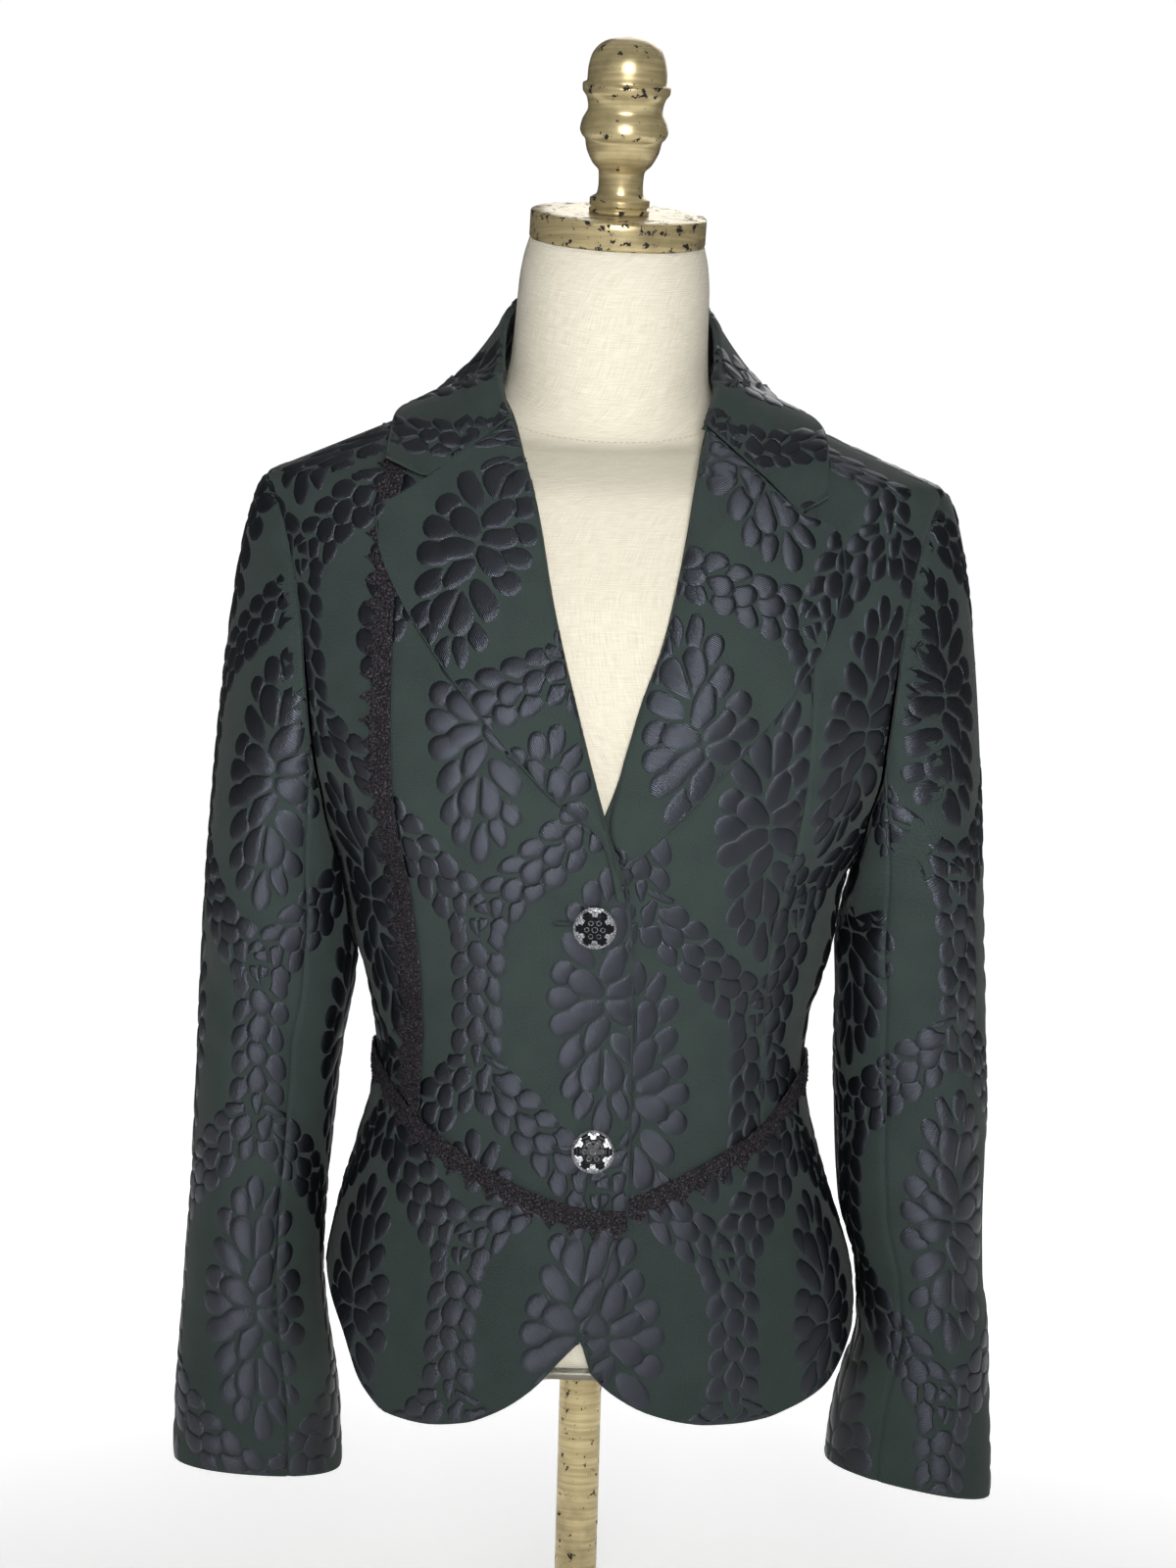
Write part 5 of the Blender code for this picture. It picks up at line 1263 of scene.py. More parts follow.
def back_places(side):
    columns = FRONT_COLUMNS + SIDE_COLUMNS
    quarter = side * math.pi / 2
    top = np.concatenate([shoulder(side, NECK_POINT[0], princess_head()[0], FRONT_COLUMNS),
                          shoulder(side, princess_head()[0], SHOULDER_TIP[0],
                                   SIDE_COLUMNS)[1:]])
    bottom = np.stack([np.linspace(2 * quarter, quarter, columns + 1),
                       np.full(columns + 1, WAIST_SIDE)], -1)
    neck = NECK_POINT[1]
    rows = PANEL_ROWS - NECKLINE_ROWS + 1
    up = np.stack([np.full(rows, 2 * quarter), np.linspace(WAIST_SIDE, neck, rows)], -1)
    round_neck = np.stack([np.linspace(2 * quarter, quarter, NECKLINE_ROWS + 1),
                           np.full(NECKLINE_ROWS + 1, neck)], -1)
    outer = np.concatenate([side_seam(side), armhole(side, back=True)[1:]])
    # Seen from behind, +X is on the left, so the columns run the other way.
    return across(-side, bottom, outer, top, np.concatenate([up, round_neck[1:]]))


def peplum_front_places(side):
    foot_width = princess_foot()[0]
    start = PEPLUM_EDGES[side][0][1]
    top = np.concatenate([
        waist_front(side, start, foot_width, FRONT_COLUMNS),
        waist_front(side, foot_width, float(body_ring(WAIST_SIDE)[0]), SIDE_COLUMNS)[1:]])
    top[-1] = (side * math.pi / 2, WAIST_SIDE)
    hem = [(float(angle_at(side * u, height)), height) for height, u in PEPLUM_HEMS[side]]
    hem.append((side * math.pi / 2, HEM_SIDE[side]))
    inner = on_front(side, PEPLUM_EDGES[side][::-1], PEPLUM_ROWS)
    inner[-1] = top[0]
    heights = np.linspace(HEM_SIDE[side], WAIST_SIDE, PEPLUM_ROWS + 1)
    outer = np.stack([np.full(len(heights), side * math.pi / 2), heights], -1)
    bottom = spaced(hem, FRONT_COLUMNS + SIDE_COLUMNS)
    bottom[0] = inner[0]
    return across(side, bottom, outer, top, inner)


def peplum_back_places():
    columns = 2 * (FRONT_COLUMNS + SIDE_COLUMNS)
    turns = np.linspace(math.pi / 2, 3 * math.pi / 2, columns + 1)[None, :]
    v = np.linspace(0, 1, PEPLUM_ROWS + 1)[:, None]
    sideways = (1 - np.cos(2 * turns)) / 2        # 1 at the sides, 0 at the back
    sides = np.where(turns < math.pi, HEM_SIDE[1], HEM_SIDE[-1])
    hem = HEM_BACK + (sides - HEM_BACK) * sideways
    return np.stack([turns + 0 * v, hem + (WAIST_SIDE - hem) * v], -1)


def body_sheet(places, grain, seams, side=-1):
    """A finished sheet on the body from its grid of places."""
    angle, height = places[..., 0], places[..., 1]
    points = body_points(angle, height, under_offset(side, angle, height))
    return finished_sheet(points, body_normals(angle, height),
                          flat_place(angle, height, grain), seams)


# ---- the jacket's body -----------------------------------------------------------------
def centre_of_figure(x, height, grain, back=False):
    """Flat place of a medallion's middle, given where it shows on the body."""
    angle = float(angle_at(x, height, back))
    return flat_place(np.array([angle]), np.array([height]), grain)[0]


ALL_EDGES = tuple(EDGE_LINES)


def add_body_panels():
    # Places, grain line in degrees, a medallion's middle, sewn edges, free edges, and the
    # side that decides whether the piece passes under the other front.
    for side in (-1, 1):
        inner, outer = ("right", "left") if side < 0 else ("left", "right")
        for name, places, turn, middle, seams, free, under in (
                ("front_", front_places, 0,
                 {-1: (0.0070, 0.4395), 1: (0.0260, 0.3850)}[side],
                 ("bottom", "top", outer), (inner,), side),
                ("side_front_", side_front_places, 62,
                 {-1: (-0.1275, 0.487), 1: (0.1507, 0.592)}[side], ALL_EDGES, (), -1),
                ("back_", back_places, 180, (side * 0.0720, 0.600), ALL_EDGES, (), -1),
                ("peplum_front_", peplum_front_places, 45,
                 {-1: (-0.003, 0.252), 1: (0.015, 0.250)}[side],
                 ("top", outer), ("bottom", inner), side)):
            grain = side * math.radians(turn)
            cloth_piece(name + NAMES[side], body_sheet(places(side), grain, seams, under),
                        free, centre_of_figure(*middle, grain, turn == 180))
    cloth_piece("peplum_back",
                body_sheet(peplum_back_places(), math.pi, ("top", "left", "right")),
                ("bottom",), centre_of_figure(0.0001, 0.290, math.pi, True))


# ---- lapels ----------------------------------------------------------------------------
def roll_rows(side):
    gorge = GORGE_ROLL[side]
    if side < 0:
        start = (EDGES[side][4][0], EDGES[side][4][1] + 0.0006)
    else:
        start = LAPEL_BREAK_LEFT
    rows = [row for row in EDGES[side] if start[0] + 0.03 < row[0] < gorge[0] - 0.004]
    if side > 0:
        rows.insert(0, LAPEL_TURN_LEFT)
    return [start] + rows + [gorge]


LAPEL_COLUMNS, LAPEL_ROWS = 36, 72
LAPEL_GRAIN = math.radians(35)
LAPEL_DRAW = 0.0020       # how far the roll is drawn towards the centre
CURL_STEPS = 7            # columns of the rolled edge


def lapel_sheet(side):
    """The turned-back cloth, from its outer edge over the roll to the front's edge."""
    inner = on_front(side, roll_rows(side), LAPEL_ROWS)
    outer = on_front(side, LAPEL_OUTERS[side], LAPEL_ROWS)
    start, notch = GORGE_ROLL[side], LAPEL_TOPS[side][-1]
    gorge, notch_edge = (spaced([(half, height) for height, half in ends],
                                LAPEL_COLUMNS // 2)
                         for ends in ((start, notch), LAPEL_TOPS[side][::-1]))
    top = np.concatenate([gorge, notch_edge[1:]])
    top = np.stack([angle_at(side * top[:, 0], top[:, 1]), top[:, 1]], -1)
    places = across(side, spaced([inner[0], outer[0]], LAPEL_COLUMNS), outer, top, inner)
    angle, height = places[..., 0], places[..., 1]
    v = np.linspace(0, 1, LAPEL_ROWS + 1)[:, None]
    u = np.linspace(0, 1, LAPEL_COLUMNS + 1)[None, :]
    lift = LAPEL_LIFT + LAPEL_BELLY * np.sin(math.pi * u) * np.minimum(1.0, v * 4)
    normals = body_normals(angle, height)
    points = (body_points(angle, height, under_offset(side, angle, height))
              + normals * lift[..., None])
    flat = flat_place(angle, height, side * LAPEL_GRAIN)
    if side < 0:              # work with the roll on the left, then turn back
        points, normals, flat = (g[:, ::-1] for g in (points, normals, flat))
    centre_way = unit(points[:, 0] - points[:, 1])
    draw = LAPEL_DRAW * np.maximum(0.0, 1 - u[0] * 5) ** 2
    points = points - centre_way[:, None] * draw[None, :, None]
    curl_points, curl_normals, curl_flat = [], [], []
    radius = LAPEL_LIFT / 2
    # The roll is flat at the foot, where the lapel begins, and soon reaches its full size.
    ease = 0.35 + 0.65 * eased(v * 12)
    for k in range(CURL_STEPS, 0, -1):
        turn = math.pi * k / CURL_STEPS
        way = centre_way * math.sin(turn) + normals[:, 0] * math.cos(turn)
        curl_points.append(points[:, 0] - normals[:, 0] * radius + way * radius * ease)
        curl_normals.append(unit(way))
        curl_flat.append(flat[:, 0] + unit(flat[:, 0] - flat[:, 1]) * radius * turn)
    points, normals, flat = (
        np.concatenate([np.stack(curl, 1), grid], 1) for curl, grid in (
            (curl_points, points), (curl_normals, normals), (curl_flat, flat)))
    if side < 0:
        points, normals, flat = (g[:, ::-1] for g in (points, normals, flat))
    return finished_sheet(points, normals, flat, ())


def add_lapels():
    for side, middle in ((-1, (-0.069, 0.688)), (1, (0.0559, 0.5845))):
        cloth_piece("lapel_" + NAMES[side], lapel_sheet(side), ALL_EDGES,
                    centre_of_figure(*middle, side * LAPEL_GRAIN),
                    tilt=side * math.radians(20))


# ---- collar ----------------------------------------------------------------------------
def collar_half(side, columns, rows):
    roll = spaced([(side * x, y, z) for x, y, z in COLLAR_ROLL], columns)
    edge = spaced([(side * x, y, z) for x, y, z in COLLAR_EDGE[side]], columns)
    notch_width, notch_height = COLLAR_NOTCH[side]
    notch = body_points(float(angle_at(side * notch_width, notch_height)), notch_height,
                        COLLAR_LIFT)
    end = spaced([roll[0], notch, edge[0]], rows, smooth=False)
    v = np.linspace(0, 1, rows + 1)[:, None, None]
    share = np.linspace(0, 1, columns + 1)[None, :, None]
    straight = roll[None] * (1 - v) + edge[None] * v
    first = roll[0] * (1 - v) + edge[0] * v
    fade = np.maximum(0.0, 1 - share * 13 / 4) ** 2
    points = straight + (end[:, None] - first) * fade
    hollow = COLLAR_HOLLOW * np.sin(math.pi * v) * np.sin(math.pi * np.minimum(share * 1.6, 1))
    points[..., 2] -= hollow[..., 0]
    points[1:] = raised(points[1:], COLLAR_LIFT)
    return points


COLLAR_COLUMNS, COLLAR_ROWS = 78, 30
COLLAR_FOLD = 0.0022      # radius of the collar's fold


def add_collar():
    halves = {side: collar_half(side, COLLAR_COLUMNS, COLLAR_ROWS) for side in (-1, 1)}
    fall = np.concatenate([halves[1], halves[-1][:, -2::-1]], 1)[::-1]
    left, right = (spaced([(side * x, y, z) for x, y, z in COLLAR_FOOT], COLLAR_COLUMNS)
                   for side in (1, -1))
    foot = np.concatenate([left, right[-2::-1]])
    normals = grid_normals(fall)
    upward = unit(fall[-1] - fall[-2])
    fall[-1] -= upward * 0.0012       # the fall ends where its fold begins
    fold = [fall[-1] - normals[-1] * COLLAR_FOLD * (1 - math.cos(turn))
            + upward * COLLAR_FOLD * math.sin(turn)
            for turn in (math.pi * k / 7 for k in range(1, 8))]
    stand = [fold[-1] + (foot - fold[-1]) * t for t in np.linspace(0, 1, 13)[1:]]
    points = np.concatenate([fall, np.stack(fold + stand)])
    lengths = edge_distances(points)
    middle = points.shape[1] // 2
    flat = np.stack([lengths["left"] - lengths["left"][:, [middle]], lengths["bottom"]], -1)
    cloth_piece("collar", finished_sheet(points, grid_normals(points), flat, ()), ALL_EDGES,
                (0.0, 0.030))


# ---- sleeves ---------------------------------------------------------------------------
CAP_ROWS, TUBE_ROWS = 8, 13       # rows of the sleeve's head and of the tube below it
ARM_RADIUS = 0.045        # at which the places of the folds are told in degrees


def sleeve_ring_points(side, turn, height):
    table = np.asarray(SLEEVE_SECTIONS[side][::-1], float)
    outer, inner, front, back = (smooth_curve(table[:, 0], table[:, k], height)
                                 for k in range(1, 5))
    middle = (outer + inner) / 2
    sine, cosine = np.sin(turn), np.cos(turn)
    x = middle + (outer - inner) / 2 * np.copysign(np.abs(cosine) ** SLEEVE_FULLNESS, cosine)
    y = (front + back) / 2 - (back - front) / 2 * np.copysign(
        np.abs(sine) ** SLEEVE_FULLNESS, sine)
    low = np.clip((0.24 - height) / 0.09, 0.0, 1.0)
    return np.stack([side * x, y, height + CUFF_TILT[side] * (x - middle) * low], -1)


def sleeve_grid(side):
    """Points, normals and flat places of the whole tube, from the cuff up to the armhole,
    with the columns running round from the outside over the front."""
    front = armhole(side)[::-1]
    back = armhole(side, back=True)
    loop = np.concatenate([front, back[1:]])
    turn = np.concatenate([np.linspace(0, math.pi, ARMHOLE_ROWS + 1),
                           np.linspace(math.pi, 2 * math.pi, ARMHOLE_ROWS + 1)[1:]])
    inside = 180 - np.abs(180 - np.degrees(turn) % 360)
    turned_back = eased((inside - 50) / 50)
    settled = turn - SLEEVE_SPREAD * np.sin(turn)
    top, bottom = SLEEVE_SECTIONS[side][0][0], SLEEVE_SECTIONS[side][-1][0]
    seam_normals = body_normals(loop[:, 0], loop[:, 1])
    start = (body_points(loop[:, 0], loop[:, 1])
             + seam_normals * (SLEEVE_TURN_BACK * turned_back - 0.0009)[:, None])
    end = sleeve_ring_points(side, settled, np.full(turn.shape, top))
    length = np.linalg.norm(end - start, axis=-1)[:, None]
    outside = (1 + np.cos(turn)) / 2
    lead = unit(np.stack([side * (0.10 + 0.58 * outside), -0.50 * np.sin(turn),
                          -(0.50 + 0.45 * (1 - outside))], -1)) * length * SLEEVE_LEAD
    settle = np.array((side * 0.02, 0.0, -1.0)) * length
    t = np.linspace(0, 1, CAP_ROWS * FINE + 1)[:-1, None, None]
    cap = (start * (2 * t**3 - 3 * t**2 + 1) + lead * (t**3 - 2 * t**2 + t)
           + end * (3 * t**2 - 2 * t**3) + settle * (t**3 - t**2))
    heights = np.linspace(top, bottom, TUBE_ROWS * FINE + 1)[:, None]
    lower = sleeve_ring_points(side, settled[None] + 0 * heights, heights + 0 * turn[None])
    points = np.concatenate([cap, lower])
    radial = np.stack([side * np.cos(turn), -np.sin(turn), 0 * turn], -1)
    down = np.arange(len(points)) / (CAP_ROWS * FINE)
    felt = eased((down - 0.12) / 0.2)[:, None]
    for fold_side, first, last, reach, depth in SLEEVE_FOLDS:
        if fold_side == side:
            ends = [(math.radians(a) * ARM_RADIUS, h) for a, h in (first, last)]
            strength = ridge(turn[None] * ARM_RADIUS, points[..., 2], *ends, reach) * felt
            points = points - radial[None] * (depth * strength)[..., None]
    beside = points[..., 2] > HEM_SIDE[side] - 0.01
    beside[0] = False
    lift = np.where(beside, SLEEVE_CLEARANCE * turned_back[None], -1.0)
    points = raised(points, lift)[::-1]                  # rows now run up from the cuff
    around = np.roll(points[:, :-1], -1, axis=1) - np.roll(points[:, :-1], 1, axis=1)
    around = np.concatenate([around, around[:, :1]], 1)
    upward = np.gradient(points, axis=0)
    normals = unit(np.cross(around, upward)) * -side
    mixed = seam_normals * (1 - turned_back[:, None]) + normals[-1] * turned_back[:, None]
    normals[-1] = unit(mixed)
    climb = edge_distances(points)["bottom"]
    step = np.linalg.norm(np.diff(points, axis=1), axis=-1)
    rise = np.diff(climb, axis=1)
    wide = np.sqrt(np.maximum(step**2 - rise**2, (0.3 * step) ** 2))
    round_way = np.concatenate([np.zeros((len(points), 1)), np.cumsum(wide, axis=1)], 1)
    flat = np.stack([round_way, climb + bottom], -1)
    return points, normals, flat


def add_sleeves():
    for side in (-1, 1):
        points, normals, flat = sleeve_grid(side)
        count = points.shape[1] - 1
        front_seam = round(FRONT_SLEEVE_SEAM * ARMHOLE_ROWS)
        back_seam = count - front_seam
        girth = flat[:, [-1], 0] - flat[:, [0], 0]
        before = flat[:, back_seam:-1].copy()
        before[..., 0] -= girth
        pieces = {
            "upper_sleeve_": [np.concatenate([g[:, back_seam:-1], g[:, :front_seam + 1]], 1)
                              for g in (points, normals)]
            + [np.concatenate([before, flat[:, :front_seam + 1]], 1)],
            "under_sleeve_": [g[:, front_seam:back_seam + 1] for g in (points, normals, flat)],
        }
        # Middle of a medallion: turn as a share of the front half, and height.
        column, height = {-1: (0.50, 0.620), 1: (0.44, 0.318)}[side]
        at = flat[np.argmin(np.abs(flat[:, 0, 1] - height)), round(column * ARMHOLE_ROWS)]
        for name, (p, n, f) in pieces.items():
            cloth_piece(name + NAMES[side], finished_sheet(p, n, f, ("top", "left", "right")),
                        ("bottom",), at)


# ---- lace ------------------------------------------------------------------------------
LACE_COTTON = 0.0004      # the strip lies this much lower than its loops
LACE_WAVES = 0.00025      # how far the strip's threads stand in and out


def lace_strip(name, straight, pointed, side):
    """A lace strip between its straight edge and its pointed edge, with thread loops."""
    sizes = bpy.context.scene.jacket_sizes
    v = np.linspace(0, 1, 9)[:, None, None]
    places = straight[None] * (1 - v) + pointed[None] * v
    angle, height = places[..., 0], places[..., 1]
    normals = body_normals(angle, height)
    points = (body_points(angle, height, under_offset(side, angle, height))
              + normals * (LACE_LIFT - LACE_COTTON))
    rng = np.random.default_rng(3)
    points = points + normals * rng.uniform(-LACE_WAVES, LACE_WAVES,
                                            points.shape[:2])[..., None]
    lengths = edge_distances(points)
    flat = np.stack([np.broadcast_to(lengths["left"][:1], points.shape[:2]),
                     lengths["bottom"]], -1)
    piece = fitted(wall("trim_" + name, Sheet(points, normals, flat), LACE_THICKNESS,
                        [finish("lace_thread")], tuple(EDGE_LINES)), "lace", name)
    faces = grid_faces(*points.shape[:2])
    above = (points + normals * 0.0002).reshape(-1, 3)
    if turned_inward(above, faces, normals.reshape(-1, 3)):
        faces = faces[:, ::-1]
    loops = grown("loops_" + name, above.tolist(), [], faces.tolist(), "Scattered loops",
                  {"Loop Radius": sizes.loop_radius, "Thread Radius": sizes.thread_radius,
                   "Spacing": sizes.loop_spacing, "Finish": finish("lace_thread")})


def lace_width(pitches):
    """Width of the lace along it, pointed at each half pitch and hollow between."""
    full = bpy.context.scene.jacket_sizes.lace_width
    return full - LACE_POINT * np.abs(np.cos(math.pi * pitches)) ** 0.8


LACE_PITCH = 0.0128       # from one point of the lace to the next
LACE_STEPS = 10           # columns of the mesh for each point of the lace
LACE_OVERLAP = 0.0040     # how far the waist lace lies above the waist seam
SEAM_RUN = 1.25           # length of the waist seam against its run across the front
FRONT_LACE_HEAD = 0.7520


def add_laces():
    for side in (-1, 1):
        start = EDGES[-1][0][1] + 0.0006 if side < 0 else -EDGES[-1][0][1] + 0.0008
        end = float(body_ring(WAIST_SIDE)[0]) - 0.0002
        pitches = round((end - start) * SEAM_RUN / LACE_PITCH)
        half = np.linspace(start, end, 60)
        line = spaced([*zip(half, waist_height(half))] + [(end + 0.0002, WAIST_SIDE)],
                      pitches * LACE_STEPS)
        angle = angle_at(side * line[:, 0], line[:, 1])
        angle[-1] = side * math.pi / 2
        width = lace_width(np.linspace(0, pitches, len(line)))
        upper = np.stack([angle, line[:, 1] + LACE_OVERLAP], -1)
        lower = np.stack([angle, line[:, 1] + LACE_OVERLAP - width], -1)
        lace_strip("lace_waist_" + NAMES[side], upper, lower, side)
    pitches = round(math.pi * 0.105 / LACE_PITCH)
    angle = np.linspace(math.pi / 2, 3 * math.pi / 2, pitches * LACE_STEPS + 1)
    width = lace_width(np.linspace(0, pitches, len(angle)))
    level = np.full(len(angle), WAIST_SIDE + LACE_OVERLAP)
    lace_strip("lace_waist_back", np.stack([angle, level], -1),
               np.stack([angle, level - width], -1), -1)
    foot = princess_foot()[1] + LACE_OVERLAP + 0.0012
    pitches = round((FRONT_LACE_HEAD - foot) / LACE_PITCH)
    height = np.linspace(foot, FRONT_LACE_HEAD, pitches * LACE_STEPS + 1)
    inner = princess_x(height) - 0.0030
    outer = inner + lace_width(np.linspace(0, pitches, len(height)))
    low = np.maximum(0.0, 1 - (height - foot) / 0.012)
    drop = (waist_height(outer) - waist_height(inner)) * low
    lace_strip("lace_front",
               np.stack([angle_at(-inner, height), height], -1),
               np.stack([angle_at(-outer, height + drop), height + drop], -1), -1)


# ---- buttons ---------------------------------------------------------------------------
def on_button(frame_axes, radius, turn, rise):
    centre, way, up, normal = frame_axes
    radius, turn, rise = (np.asarray(k, float)[..., None] for k in (radius, turn, rise))
    return (centre + way * radius * np.cos(turn) + up * radius * np.sin(turn)
            + normal * rise)


def button_axes(x, height):
    angle = float(angle_at(x, height))
    normal = body_normals(angle, height)
    centre = body_points(angle, height) + normal * 0.0006
    up = unit(np.array((0.0, 0.0, 1.0)) - normal * normal[2])
    return centre, unit(np.cross(up, normal)), up, normal


# A button, as shares of its radius and as heights over the cloth.
LOBES = ((12, 0.86), (19, 0.76), (180, 0.56))      # up to so many degrees from a lobe: reach
BUTTON_EDGE = ((1.0, 0.0017), (1.0, 0.0009), (0.94, 0.0))     # share and height, to the back
PLATE, LOBE_RISE, LOBE_TOP, RIM_GROOVE, BUTTON_DOME = 0.0021, 0.0010, 0.0004, 0.0005, 0.0007
STEP = 0.03               # share of the radius over which each step rises
SCROLL_HEIGHT, POINT_HEIGHT, BEAD_HEIGHT = 0.0042, 0.0023, 0.0019


def rosette(axes, radius):
    """Points of a button with six stepped lobes, and where its plated ground shows."""
    turns = np.linspace(0, 2 * math.pi, 181)[:-1]
    shares = np.concatenate([[0.02], np.linspace(0.06, 0.97, 36),
                             [share for share, _ in BUTTON_EDGE]])
    r, a = np.meshgrid(shares, turns, indexing="ij")
    beside = np.abs((np.degrees(a) + 30) % 60 - 30)      # from the nearest lobe's middle
    lobe = np.select([beside < limit for limit, _ in LOBES], [reach for _, reach in LOBES])
    rise = PLATE + LOBE_RISE * eased((lobe - r) / STEP)
    rise += LOBE_TOP * eased((lobe - 0.17 - r) / STEP)
    rise -= RIM_GROOVE * eased((r - 0.90) / STEP) * eased((0.985 - r) / STEP)
    rise += BUTTON_DOME * (1 - r**2)
    rise[-3:] = np.array([height for _, height in BUTTON_EDGE])[:, None]
    return on_button(axes, r * radius, a, rise), r > lobe + 0.01


def add_buttons():
    radius = bpy.context.scene.jacket_sizes.button_radius
    for name, x, height in BUTTON_PLACES:
        axes = button_axes(x, height)
        points, plated = rosette(axes, radius)
        rows, columns = points.shape[:2]
        index = np.arange(rows * columns).reshape(rows, columns)
        around = np.roll(index, -1, axis=1)
        faces = np.stack([index[:-1], index[1:], around[1:], around[:-1]], -1)
        piece = make("rosette_" + name, points.reshape(-1, 3), faces.reshape(-1, 4).tolist()
                     + [index[0].tolist(), index[-1][::-1].tolist()],
                     [finish("black_resin"), finish("worn_silver")],
                     second=plated[:-1].ravel().tolist() + [False, False], sharp=50)
        fitted(piece, "button_gloss", name)
        rim = on_button(axes, np.full(97, 0.925 * radius), np.linspace(0, 2 * math.pi, 97),
                        np.full(97, BEAD_HEIGHT))
        rim[-1] = rim[0]
        beads("beads_" + name, [rim], 0.00150, (0.00066, 0.00060, 0.00045), "worn_silver", 2)
        rings = []            # six small scrolls round a larger one
        for k in range(7):
            out, small = (0.37, 0.105) if k < 6 else (0.0, 0.13)
            turn = np.linspace(0, 2 * math.pi, 17)
            sideways = radius * (out * math.cos(math.pi / 3 * k) + small * np.cos(turn))
            upward = radius * (out * math.sin(math.pi / 3 * k) + small * np.sin(turn))
            ring = on_button(axes, np.hypot(sideways, upward), np.arctan2(upward, sideways),
                             np.full(17, SCROLL_HEIGHT))
            ring[-1] = ring[0]
            rings.append(ring)
        beads("scrolls_" + name, rings, 0.00048, (0.00034, 0.00024, 0.00026), "worn_silver")
        # Silver points that fill between the lobes, wider row by row.
        wedges = [on_button(axes, np.full(9, (0.62 + 0.24 * share) * radius),
                            math.pi / 6 + math.pi / 3 * k
                            + np.linspace(-0.124 * share, 0.124 * share, 9),
                            np.full(9, POINT_HEIGHT))
                  for k in range(6) for share in np.linspace(0, 1, 5)[1:]]
        beads("points_" + name, wedges, 0.00055, (0.00042, 0.00042, 0.00032), "worn_silver")
        add_buttonhole(name, x, height)


BUTTONHOLE = (0.0085, 0.0215, 0.0012, 0.0013)   # start, end, rise and half gap of its cords


def add_buttonhole(name, x, height):
    """A corded slit that runs from the button towards the wearer's right."""
    near, far, rise, gap = BUTTONHOLE
    start, end, middle = x - near, x - far, height + rise
    path = [(u, middle + gap) for u in np.linspace(start, end, 14)]
    path += [(end - gap * math.sin(t), middle + gap * math.cos(t))
             for t in np.linspace(0.3, math.pi - 0.3, 6)]
    path += [(u, middle - gap) for u in np.linspace(end, start, 14)]
    path = np.array(path)
    angle = angle_at(path[:, 0], path[:, 1])
    points = body_points(angle, path[:, 1]) + body_normals(angle, path[:, 1]) * 0.0004
    beads("buttonhole_" + name, [points], 0.00065, (0.00042, 0.00078, 0.00066),
                  "buttonhole_twist")


# ---- dress form ------------------------------------------------------------------------
FORM_SIDES = 144
FORM_FLOOR = (            # share of the bottom's reach, and how far it has rounded up there
    (0.05, 0.0), (0.25, 0.0), (0.45, 0.0), (0.60, 0.0), (0.74, 0.0), (0.86, 0.02),
    (0.92, 0.08), (0.955, 0.22), (0.98, 0.45), (0.995, 0.72), (1.00, 1.0))
SHOULDER_HEIGHTS = (0.7075, 0.715, 0.722, 0.733, 0.744, 0.754, 0.762)
FORM_NECK = (             # down from under the cap, and radius
    (0.098, 0.0590), (0.085, 0.0575), (0.055, 0.0563), (0.030, 0.0555), (0.012, 0.0535),
    (0.000, 0.0505))
NECK_KNOTS = len(SHOULDER_HEIGHTS) + len(FORM_NECK) + 1     # rings that are drawn finely
SEAM_LEAN = 0.0150        # the seam at the foot of the neck is lower in front than behind
JOINT_GAP = 0.0003        # left between two pieces that stand on each other


def form_ring(height):
    width, front, back = (float(k) - FORM_CLEARANCE for k in body_ring(
        height + FORM_DROP if height > 0.70 else height))
    limits = FORM_HIPS if height < FORM_HIPS[-1][0] else FORM_SHOULDERS
    if limits is FORM_HIPS or height > limits[0][0]:
        width = min(width, float(looked_up(limits, height)))
    turn = np.linspace(0, 2 * math.pi, FORM_SIDES, endpoint=False)
    power = 2 / ROUNDNESS
    cosine, sine = np.cos(turn), np.sin(turn)
    x = width * np.copysign(np.abs(cosine) ** power, cosine)
    y = np.where(sine > 0, back, front) * np.copysign(np.abs(sine) ** power, sine)
    return np.stack([x, y, np.full(FORM_SIDES, height)], -1)


def form_floor(x):
    rise, flat, reach = FORM_ARCH
    return FORM_BOTTOM + rise * (1 - eased((np.abs(x) - flat) / (reach - flat)))


def turned_ring(centre, axis, radius, sides):
    first = unit(np.array((1.0, 0.0, 0.0)) - axis * axis[0])
    second = np.cross(axis, first)
    turn = np.linspace(0, 2 * math.pi, sides, endpoint=False)[:, None]
    return centre + first * radius * np.cos(turn) + second * radius * np.sin(turn)


